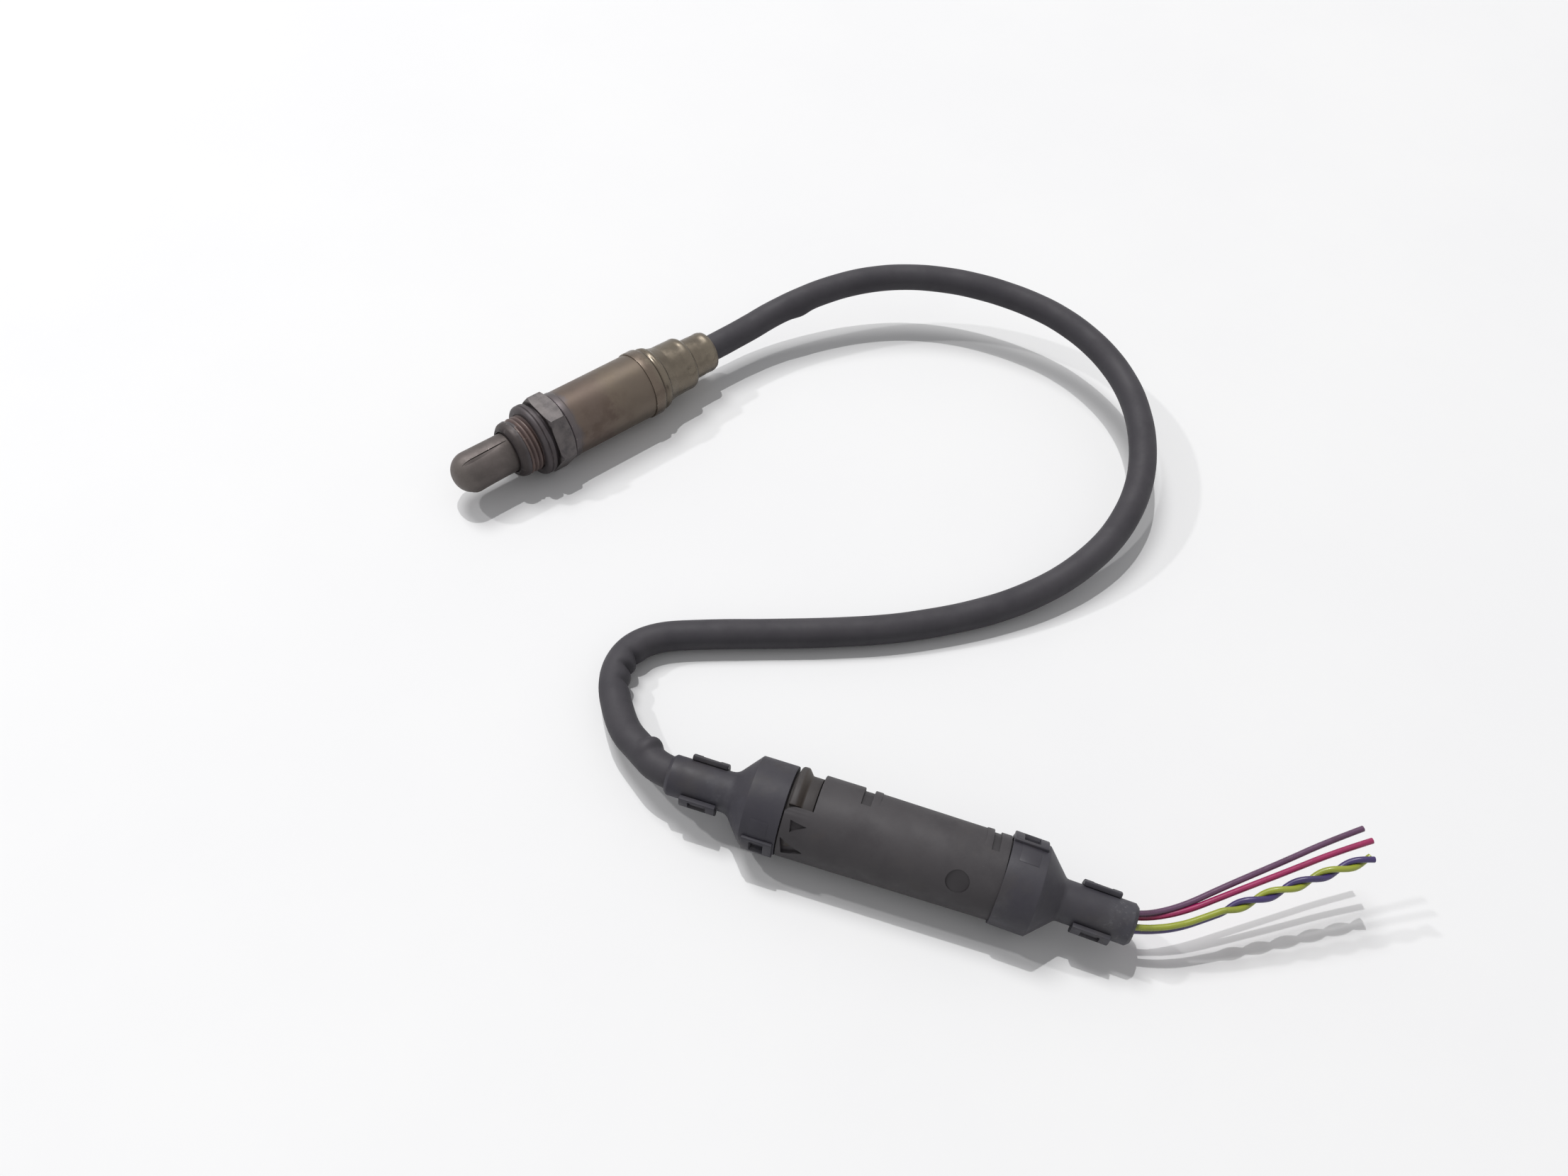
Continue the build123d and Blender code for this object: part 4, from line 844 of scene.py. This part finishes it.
# Close stations where the crimps are pressed in.
barrel = [(77.5 + 0.6 * step, BARREL_RADIUS) for step in range(1, 12)]
tail = [(87.4 + 0.7 * step, TAIL_RADIUS) for step in range(10)]
rear = turned("rear_sleeve_shell", [
    (67.3, 10.66), (67.3, 11.05, 0.25), (70.9, 11.05, 0.6), (71.7, 10.0, 0.35), (72.3, 10.1, 0.3),
    (72.9, 10.45, 0.4), (73.9, 10.25, 0.5), (74.6, 9.5, 0.6), (77.6, BARREL_RADIUS, 0.8),
    *barrel, (86.5, BARREL_RADIUS, 1.9), (86.6, TAIL_RADIUS, 0.2), *tail, (96.3, TAIL_RADIUS, 2.2),
    (96.3, 4.36), (95.6, 4.36), (95.6, 6.3), (86.0, 6.3), (84.4, 8.3),
    (77.5, 8.3), (72.6, 9.4), (71.05, 9.4), (71.05, 10.15), (70.7, 10.15), (70.7, 10.66),
], facets=160)
press(rear, 83.3, BARREL_RADIUS, 1.15, 0.4)
press(rear, 92.4, TAIL_RADIUS, 1.05, 0.35)
install(rear, sensor, "rear_sleeve_metal", "rear_sleeve", smooth=40)


# ---- Cable ----
def route_curve(name, points, resolution, depth=0.0):
    data = bpy.data.curves.new(name, "CURVE")
    data.dimensions = "3D"
    data.bevel_depth = depth
    data.bevel_resolution = 5
    data.use_fill_caps = depth > 0
    spline = data.splines.new("NURBS")
    spline.points.add(len(points) - 1)
    for knot, point in zip(spline.points, points):
        knot.co = (*(Vector(point) * MM), 1)
    spline.order_u = 3
    spline.use_endpoint_u = True
    spline.resolution_u = resolution
    spline.use_smooth = True
    return place_object(name, data)


def centre_line(points, resolution):
    """The points of a cord's middle in metres, once its curve is smoothed."""
    route = route_curve("centre_line", points, resolution)
    line = bpy.data.meshes.new_from_object(route)
    path = [vertex.co.copy() for vertex in line.vertices]
    bpy.data.objects.remove(route)
    bpy.data.meshes.remove(line)
    return path


def path_stations(path):
    """Distance from a path's start to each of its points."""
    stations = [0.0]
    for here, there in zip(path, path[1:]):
        stations.append(stations[-1] + (there - here).length)
    return stations


CABLE_DIAMETER = 8.6
CABLE_STEPS = 24
UNEVEN_HEIGHT = 0.06
UNEVEN_SCALE = 0.12
cable_route = [
    sensor.spot(94.9), sensor.spot(109.3),
    (-75.5, 0.7, 13.8), (-90.5, 3.6, 16.4), (-105.6, 8.5, 18.2),
    (-120.1, 16.8, 19.0), (-132.6, 29.2, 19.3), (-142.4, 45.0, 19.4), (-148.6, 62.8, 19.2),
    (-148.8, 82.0, 18.6), (-143.3, 99.9, 17.4), (-132.6, 115.3, 15.7), (-117.6, 128.0, 13.0),
    (-98.7, 135.3, 9.7), (-78.6, 136.2, 6.8), (-58.8, 132.5, 5.0), (-40.3, 125.4, 4.4),
    (-22.9, 116.6, 4.4), (-6.3, 105.6, 4.4), (9.2, 94.2, 4.4), (22.6, 84.3, 4.4),
    (31.6, 78.6, 4.4), (39.8, 77.2, 4.7), (47.0, 80.1, 5.2), (52.4, 85.9, 6.0),
    (56.0, 93.0, 7.1), (59.0, 100.6, 8.5), (59.4, 108.0, 10.1),
    connector.spot(-1.4), connector.spot(6.5),
]
cable_path = [point / MM for point in centre_line(cable_route, CABLE_STEPS)]

# Lumps and creases of the sheath: where, towards which side, height, half length and how
# square it is. The sheath folds on the inside of its tightest bend, and swells beside the ends.
INSIDE = Vector((-0.7, 0.7, 0.12))
CABLE_LUMPS = [
    ((-84.0, 2.2, 15.8), -upward, 0.75, 3.4, 2.0),
    ((38.9, 81.5, 5.5), INSIDE, 0.5, 2.3, 2.0),
    ((41.4, 82.4, 6.0), INSIDE, -1.25, 1.0, 1.3),
    ((43.4, 83.3, 6.0), INSIDE, 0.45, 1.6, 2.4),
    ((45.3, 83.9, 6.0), INSIDE, -1.7, 1.0, 1.3),
    ((47.3, 85.6, 6.0), INSIDE, 0.2, 1.6, 2.4),
    ((49.2, 87.3, 6.0), INSIDE, -1.45, 1.2, 1.3),
    ((57.8, 110.9, 10.7), upward, 1.9, 1.7, 2.8),
]


def cable_tube(path, sides):
    """Tube along a path, with its lumps and creases."""
    count = len(path)
    stations = path_stations(path)
    tangents = [(path[min(i + 1, count - 1)] - path[max(i - 1, 0)]).normalized()
                for i in range(count)]
    lumps = []
    for where, towards, height, reach, square in CABLE_LUMPS:
        nearest = min(range(count), key=lambda i: (path[i] - Vector(where)).length)
        lumps.append((stations[nearest], towards.normalized(), height, reach, square))
    vertices, faces = [], []
    across = tangents[0].orthogonal().normalized()
    for i in range(count):
        across = (across - tangents[i] * across.dot(tangents[i])).normalized()
        third = tangents[i].cross(across)
        for side in range(sides):
            turn = 2 * pi * side / sides
            out = across * cos(turn) + third * sin(turn)
            uneven = noise.noise(Vector((stations[i] * UNEVEN_SCALE, cos(turn), sin(turn))))
            radius = CABLE_DIAMETER / 2 + UNEVEN_HEIGHT * uneven
            for station, towards, height, reach, square in lumps:
                facing = max(out.dot(towards), 0)
                fading = exp(-abs((stations[i] - station) / reach) ** square)
                radius += height * facing ** 2 * fading
            vertices.append((path[i] + out * radius) * MM)
    for i in range(count - 1):
        for side in range(sides):
            beside = (side + 1) % sides
            faces.append((i * sides + side, i * sides + beside,
                          (i + 1) * sides + beside, (i + 1) * sides + side))
    faces.append(tuple(reversed(range(sides))))
    faces.append(tuple(range((count - 1) * sides, count * sides)))
    mesh = bpy.data.meshes.new("cable")
    mesh.from_pydata(vertices, [], faces)
    cable = place_object("cable", mesh)
    pick(cable)
    bpy.ops.object.mode_set(mode="EDIT")
    face_outwards()
    bpy.ops.object.shade_smooth_by_angle(angle=radians(50))
    return cable, stations[-1]


cable, cable_length = cable_tube(cable_path, sides=44)
cable.data.materials.append(finishes["cable_sheath"])
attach(cable, "root")
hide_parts("sheathed_cable")

# ---- Harness wires ----
WIRE_DIAMETER = 1.6
WIRE_STEPS = 12
TWIST_PITCH = 15.4
TWIST_START = 15.0
TWIST_POINTS = 46
TWIST_SMOOTHING = 6.0
TWIST_RADIUS = 0.82
TWIST_OPENING = 12                # the pair reaches its full swing over this length
TERMINAL_END = 84.65              # where the wires leave their terminals
STRAIGHT_END = 93.65
TERMINAL_RADIUS = 4.0             # from the connector's axis to each terminal
NECK_FOOT = 15.8
NECK_MOUTH = 33.0


def inside_run(contact, aside, outward):
    """A wire's points from its terminal to the mouth of the harness cover."""
    angle = 45 + 90 * contact
    offset = harness_cover.side * aside + harness_cover.up * outward
    return [
        connector.spot(TERMINAL_END, TERMINAL_RADIUS, angle),
        connector.spot(STRAIGHT_END, TERMINAL_RADIUS, angle),
        harness_cover.spot(NECK_FOOT + 2.5) + offset,
        harness_cover.spot(NECK_MOUTH - 1.0) + offset,
    ]


wire_routes = {
    "violet": inside_run(0, 1.9, 0.3) + [
        (-16.6, 227.2, 12.8), (-31.0, 231.6, 15.4), (-46.0, 236.5, 17.4), (-58.0, 240.2, 19.3),
        (-67.9, 243.9, 20.7),
    ],
    "magenta": inside_run(1, 1.0, -1.2) + [
        (-16.2, 228.3, 12.2), (-30.5, 233.6, 15.1), (-45.5, 239.2, 17.6), (-57.3, 243.4, 19.6),
        (-66.7, 247.5, 21.0),
    ],
}
pair_line = [Vector(point) for point in (
    (-11.7, 229.5, 11.2), (-20.2, 233.3, 13.0), (-27.6, 236.3, 14.8), (-41.0, 241.8, 17.5),
    (-53.0, 246.4, 19.5), (-62.6, 250.4, 21.0),
)]


def twisted(start, phase):
    """A wire of the twisted pair: its run inside, then turns about the pair's own line."""
    line = [start[-1]] + pair_line
    stations = path_stations(line)
    end = stations[-1]

    def spot(station):
        leg = max(i for i in range(len(stations) - 1) if stations[i] <= station + 1e-6)
        share = (station - stations[leg]) / (stations[leg + 1] - stations[leg])
        return line[leg].lerp(line[leg + 1], share)

    points = list(start)
    for step in range(1, TWIST_POINTS + 1):
        station = end * step / TWIST_POINTS
        reach = min(TWIST_SMOOTHING, station, end - station)
        middle = sum((spot(station + reach * share / 3) for share in range(-3, 4)), Vector()) / 7
        ahead = spot(min(station + reach + 0.1, end))
        along = (ahead - spot(max(station - reach - 0.1, 0))).normalized()
        across = along.cross(Vector((0, 0, 1))).normalized()
        above = across.cross(along)
        turns = max(station - stations[1] - TWIST_START, 0) / TWIST_PITCH
        angle = 2 * pi * (phase - turns)
        swing = TWIST_RADIUS * min(station / TWIST_OPENING, 1)
        points.append(middle + (across * cos(angle) + above * sin(angle)) * swing)
    return points


wire_routes["blue"] = twisted(inside_run(2, -1.8, -0.8), 0.75)
wire_routes["green"] = twisted(inside_run(3, -0.8, 0.6), 0.25)

for colour, points in wire_routes.items():
    wire = route_curve(f"wire_{colour}", points, WIRE_STEPS, WIRE_DIAMETER * MM / 2)
    wire.data.materials.append(finishes[f"wire_{colour}"])
    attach(wire, "root")
    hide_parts(f"harness_wire_{colour}")
    length = path_stations(centre_line(points, WIRE_STEPS))[-1]

# ---- Connector covers ----
COVER_BORE = 10.4
NECK_BORE = 4.6
COLLAR_FOOT = 10.6                # inside the collar's wall, where its latches start
TONGUE_BAR = 2.3
TONGUE_RECESS = 2.4               # from the tongue's ends to the hollow under its window
LATCH_INSET = 4.9                 # from a neck's mouth to its latches
HASP_LENGTH = 9.6
HASP_BAR = 2.4                    # bars at both ends of the loop
CATCH_LENGTH = 4.6
# The two latches of a neck: angles of the loop, of its window, of its root and of the catch.
HIGH_LATCH = ((68, 124), (77, 108), (110, 122), (79, 100))
LOW_LATCH = ((-106, -49), (-86, -56), (-104, -89), (-83, -60))


def cover_outline(front, collar, cone, neck, flare, shoulder):
    """Outline of a cover: its collar, the cone behind it, and the neck round the cords."""
    foot = collar + cone
    mouth = foot + neck
    return [
        (front, COVER_BORE), (front, COLLAR, 0.2), (collar, COLLAR, shoulder),
        (foot, NECK, flare), (mouth - 0.9, NECK, 0.2), (mouth, NECK - 0.75),
        (mouth, NECK_BORE), (foot, NECK_BORE), (collar - 0.4, COVER_BORE),
    ]


def mirrored(latch):
    return tuple((-last, -first) for first, last in latch)


def neck_hasp(mouth, latch):
    """Latch loop on the neck, with its window over a catch."""
    end = mouth - LATCH_INSET
    start = end - HASP_LENGTH
    angles, window, root_angles, _ = latch
    hasp = band("hasp", start, end, NECK + 0.15, NECK + 1.5, angles)
    cut(hasp, band("hasp_cut", start + HASP_BAR, end - HASP_BAR, NECK - 1, NECK + 3, window))
    root = band("hasp_root", start + 0.3, end - 0.3, NECK - 0.4, NECK + 1.2, root_angles)
    return [soften(hasp, 0.28), soften(root, 0.25)]


def neck_catch(mouth, latch):
    """Catch on the neck, for a loop's window."""
    end = mouth - LATCH_INSET - HASP_BAR
    catch = band("catch", end - CATCH_LENGTH, end - 0.2, NECK - 0.4, NECK + 0.7, latch[3])
    return soften(catch, 0.2)


def collar_latch(start, end, first):
    """Raised panel and tongue on the latch side of the collar."""
    panel = band("panel", start + 2.2, end - 1.4, COLLAR_FOOT, COLLAR + 0.07,
                 (first - 28, first + 1))
    tongue = band("tongue", start, end, COLLAR_FOOT, COLLAR + 0.85, (first, first + 38))
    cut(tongue, band("tongue_cut", start + TONGUE_BAR, end - TONGUE_BAR, COLLAR - 0.8, COLLAR + 3,
                     (first + 5, first + 29)))
    return [soften(panel, 0.05, 2), soften(tongue, 0.25)]


for name, axis, front, collar, cone, neck, flare, shoulder, latches, tongue in (
    ("cable_cover", cable_cover, 0, 9.5, 5.3, 17.2, 3.2, 0.25,
     (mirrored(HIGH_LATCH), mirrored(LOW_LATCH)), (0.4, 8.6, 50)),
    ("harness_cover", harness_cover, -0.8, 8.7, 6.1, 18.7, 1.6, 0.5,
     (HIGH_LATCH, LOW_LATCH), (-0.7, 8.0, 56)),
):
    outline = cover_outline(front, collar, cone, neck, flare, shoulder)
    mouth = collar + cone + neck
    outer = soften(turned(f"{name}_outer_shell", outline, (-89.6, 89.6), facets=112), 0.2)
    start, end, first = tongue
    cut(outer, band("tongue_window", start + TONGUE_RECESS, end - TONGUE_RECESS,
                    COLLAR - 1.0, COLLAR + 3, (first + 6, first + 28)))
    joined(outer, *collar_latch(*tongue), *[neck_catch(mouth, latch) for latch in latches])
    install(outer, axis, "connector_plastic", f"{name}_outer", material=cover_finish)
    inner = soften(turned(f"{name}_inner_shell", outline, (90.4, 269.6), facets=112), 0.2)
    joined(inner, *[part for latch in latches for part in neck_hasp(mouth, latch)])
    install(inner, axis, "connector_plastic", f"{name}_inner", material=cover_finish)

# ---- Coupling sleeve ----
COUPLING_START = 33.35
COUPLING_LENGTH = 55.8
COUPLING_END = COUPLING_START + COUPLING_LENGTH
COUPLING_RADIUS = 11.55
COUPLING_TAPER = 0.6
COUPLING_BORE = 9.1
PAD_RISE = 26                     # degrees over which a pad grows out of the sleeve
PAD_FOOT = 9.8                    # inside the sleeve's wall, where the pads start
DIMPLE_STATION = 78.75
DIMPLE_DEPTH = 0.5
DIMPLE_CUTTER = 4                 # length of the cylinder that cuts the dimple


def coupling_radius(station):
    """The sleeve's outside, which gets narrower towards the harness."""
    return COUPLING_RADIUS - COUPLING_TAPER * (station - COUPLING_START) / COUPLING_LENGTH


coupling = turned("coupling", [
    (COUPLING_START, 10.45), (COUPLING_START, COUPLING_RADIUS),
    *[(station, coupling_radius(station))
      for station in (41.2, 41.8, 50.2, 54.0, 56.0, 56.6, 74.5, 82.2, 87.2)],
    (COUPLING_END, 10.95), (COUPLING_END, COUPLING_BORE),
    (45.15, COUPLING_BORE), (45.15, 10.45),
], facets=144)
cut(coupling, band("window_cut", 30, 40.35, 5, 20, (8, 172), facets=288))
cut(coupling, band("slot_cut", 50.75, 53.35, 10.75, 20, (39, 141)))
cut(coupling, band("rear_slot_cut", 84.65, 86.55, 10.5, 20, (33, 147)))


def prism(corners, depth):
    """Three-cornered cutter through the sleeve's surface, corners given by station and angle."""
    cutter = cylinder(vertices=3, radius=1, depth=2)
    for vertex in cutter.data.vertices:
        x, y, z = vertex.co
        station, angle = corners[round(atan2(y, x) * 3 / (2 * pi)) % 3]
        radius = coupling_radius(station) + (3 if z > 0 else -depth)
        vertex.co = (station, radius * sin(radians(angle)), radius * cos(radians(angle)))
    bpy.ops.object.mode_set(mode="EDIT")
    face_outwards()
    return cutter


cut(coupling, prism([(32.5, 14), (36.2, 9.5), (32.5, -3)], 3.0))
cut(coupling, prism([(39.8, -13), (35.4, -9), (35.9, -25)], 0.85))
cut(coupling, prism([(40.3, -52), (33.9, -35), (34.9, -64)], 0.85))
dimple = cylinder(vertices=56, radius=3.0, depth=DIMPLE_CUTTER)
height = coupling_radius(DIMPLE_STATION) - DIMPLE_DEPTH + DIMPLE_CUTTER / 2
dimple.matrix_world = (
    Matrix.Translation(Vector((DIMPLE_STATION, 0, 0)))
    @ Matrix.Rotation(radians(21), 4, "X")
    @ Matrix.Translation(Vector((0, 0, height)))
)
bpy.ops.object.transform_apply(location=True, rotation=True, scale=True)
cut(coupling, dimple)
soften(coupling, 0.2, 3, 30)


def coupling_pad(name, start, end, radius, first):
    """Raised strip that grows out of the sleeve from its two ends."""
    strip = band(name, start, end, PAD_FOOT, radius, (first, 180 - first), facets=144)
    pad = soften(strip, 0.22, 3, 50)
    for vertex in pad.data.vertices:
        x, y, z = vertex.co
        angle, height = polar(y, z)
        flush = coupling_radius(x) - 0.05
        if height > flush:
            rise = min(max(min(angle - first, 180 - first - angle) / PAD_RISE, 0), 1)
            raised = flush + (height - flush) * rise
            vertex.co = (x, y * raised / height, z * raised / height)
    return pad


pads = [
    coupling_pad("pad", 40.35, 50.75, 11.62, 39),
    coupling_pad("ridge", 53.35, 55.45, 11.55, 39),
    coupling_pad("rear_ridge", 82.75, 84.65, 11.25, 33),
]
joined(coupling, *pads)
install(coupling, connector, "connector_plastic", "coupling_sleeve")

# ---- Plug housing ----
plug = soften(turned("plug_body", [
    (24.95, 9.1), (24.95, 10.35), (33.35, 10.35), (33.35, 10.4), (39.95, 10.4), (39.95, 9.2),
    (40.6, 9.2), (40.6, 10.4), (44.55, 10.4), (44.55, 9.05), (61.55, 9.05), (61.55, 7.85),
    (44.55, 7.85), (44.55, 0), (33.35, 0), (33.35, 7.4), (28.85, 7.4), (28.85, 9.1),
], facets=112), 0.12, 2)
rib = turned("rib", [
    (33.75, 9.6), (33.75, 12.1, 0.85), (35.6, 12.1, 0.8), (36.9, 10.55, 0.5), (37.4, 10.3),
    (37.4, 9.6),
], (9, 171), facets=160)
joined(plug, soften(rib, 0.15, 2, 50))
install(plug, connector, "plug_plastic", "plug_housing", smooth=40)

# ---- CAD nodes that keep their shape ----
CAD_FINISHES = {
    "inner_tube": "tube_steel", "sensing_element": "zirconia", "packing_ring": "packing_powder",
    "rear_insulator": "alumina", "heater_rod": "alumina", "contact_bushing": "alumina",
    "disc_spring": "rear_sleeve_metal", "cable_grommet": "seal_rubber",
    "plug_wire_seal": "seal_rubber", "socket_wire_seal": "seal_rubber",
    "interface_seal": "seal_rubber", "socket_housing": "plug_plastic",
}
for number in range(1, 5):
    for kind in ("contact_terminal", "plug_pin", "socket_terminal"):
        CAD_FINISHES[f"{kind}_{number}"] = "contact_metal"
    for kind in ("sensor_lead", "plug_lead"):
        CAD_FINISHES[f"{kind}_{number}"] = "lead_insulation"
for node, slot in CAD_FINISHES.items():
    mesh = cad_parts[node].data
    mesh.materials.clear()
    mesh.materials.append(finishes[slot])

# ---- Floor, lamps, world ----
bpy.ops.object.select_all(action="DESELECT")
bpy.ops.mesh.primitive_plane_add(size=6)
floor = bpy.context.object
floor.name = "floor"
f = Finish("floor_white", (0.885, 0.885, 0.89, 1), 0.6, specular=0.1)
# Faint lighter patches: painted light, uneven across the floor.
f.tint((0.905, 0.905, 0.905, 1), f.patches(6, 0.3, 0.7))
floor.data.materials.append(f.material)

# Two small lamps: place, power and size. A broad soft one shines down beside them.
LAMPS = [
    ((-0.46, -1.368, 3.932), 218, 0.03),
    ((0.594, -0.993, 1.217), 19.5, 0.035),
]
SOFT_LIGHT = 0.3                  # what the soft lamp gives the floor, where 1 is white
SOFT_HEIGHT = radians(60)


def new_lamp(name, kind, power):
    data = bpy.data.lights.new(name, kind)
    data.energy = power
    return place_object(name, data)


for number, (place, power, size) in enumerate(LAMPS):
    lamp = new_lamp(f"lamp_{number}", "POINT", power)
    lamp.data.shadow_soft_size = size
    lamp.location = place
soft_lamp = new_lamp("soft_lamp", "SUN", SOFT_LIGHT * pi / sin(SOFT_HEIGHT))
soft_lamp.data.angle = radians(19)
soft_lamp.rotation_euler = Vector((-0.06, -0.52, 0.86)).to_track_quat("Z", "Y").to_euler()

world = bpy.data.worlds.new("room")
world.use_nodes = True
bpy.context.scene.world = world
tree = world.node_tree
tree.nodes.clear()
rays = add(tree, "ShaderNodeLightPath")
seen = rays.outputs["Is Camera Ray"]
for kind in ("Is Glossy Ray", "Is Transmission Ray"):
    seen = maths(tree, "MAXIMUM", seen, rays.outputs[kind])
dim = add(tree, "ShaderNodeBackground", {"Color": (0.985, 0.985, 1.0, 1), "Strength": 0.35})
bright = add(tree, "ShaderNodeBackground", {"Color": (1, 1, 1, 1), "Strength": 1.0})
mix = add(tree, "ShaderNodeMixShader", {0: seen, 1: dim.outputs[0], 2: bright.outputs[0]})
add(tree, "ShaderNodeOutputWorld", {"Surface": mix.outputs[0]})

bpy.context.scene.view_settings.view_transform = "Standard"
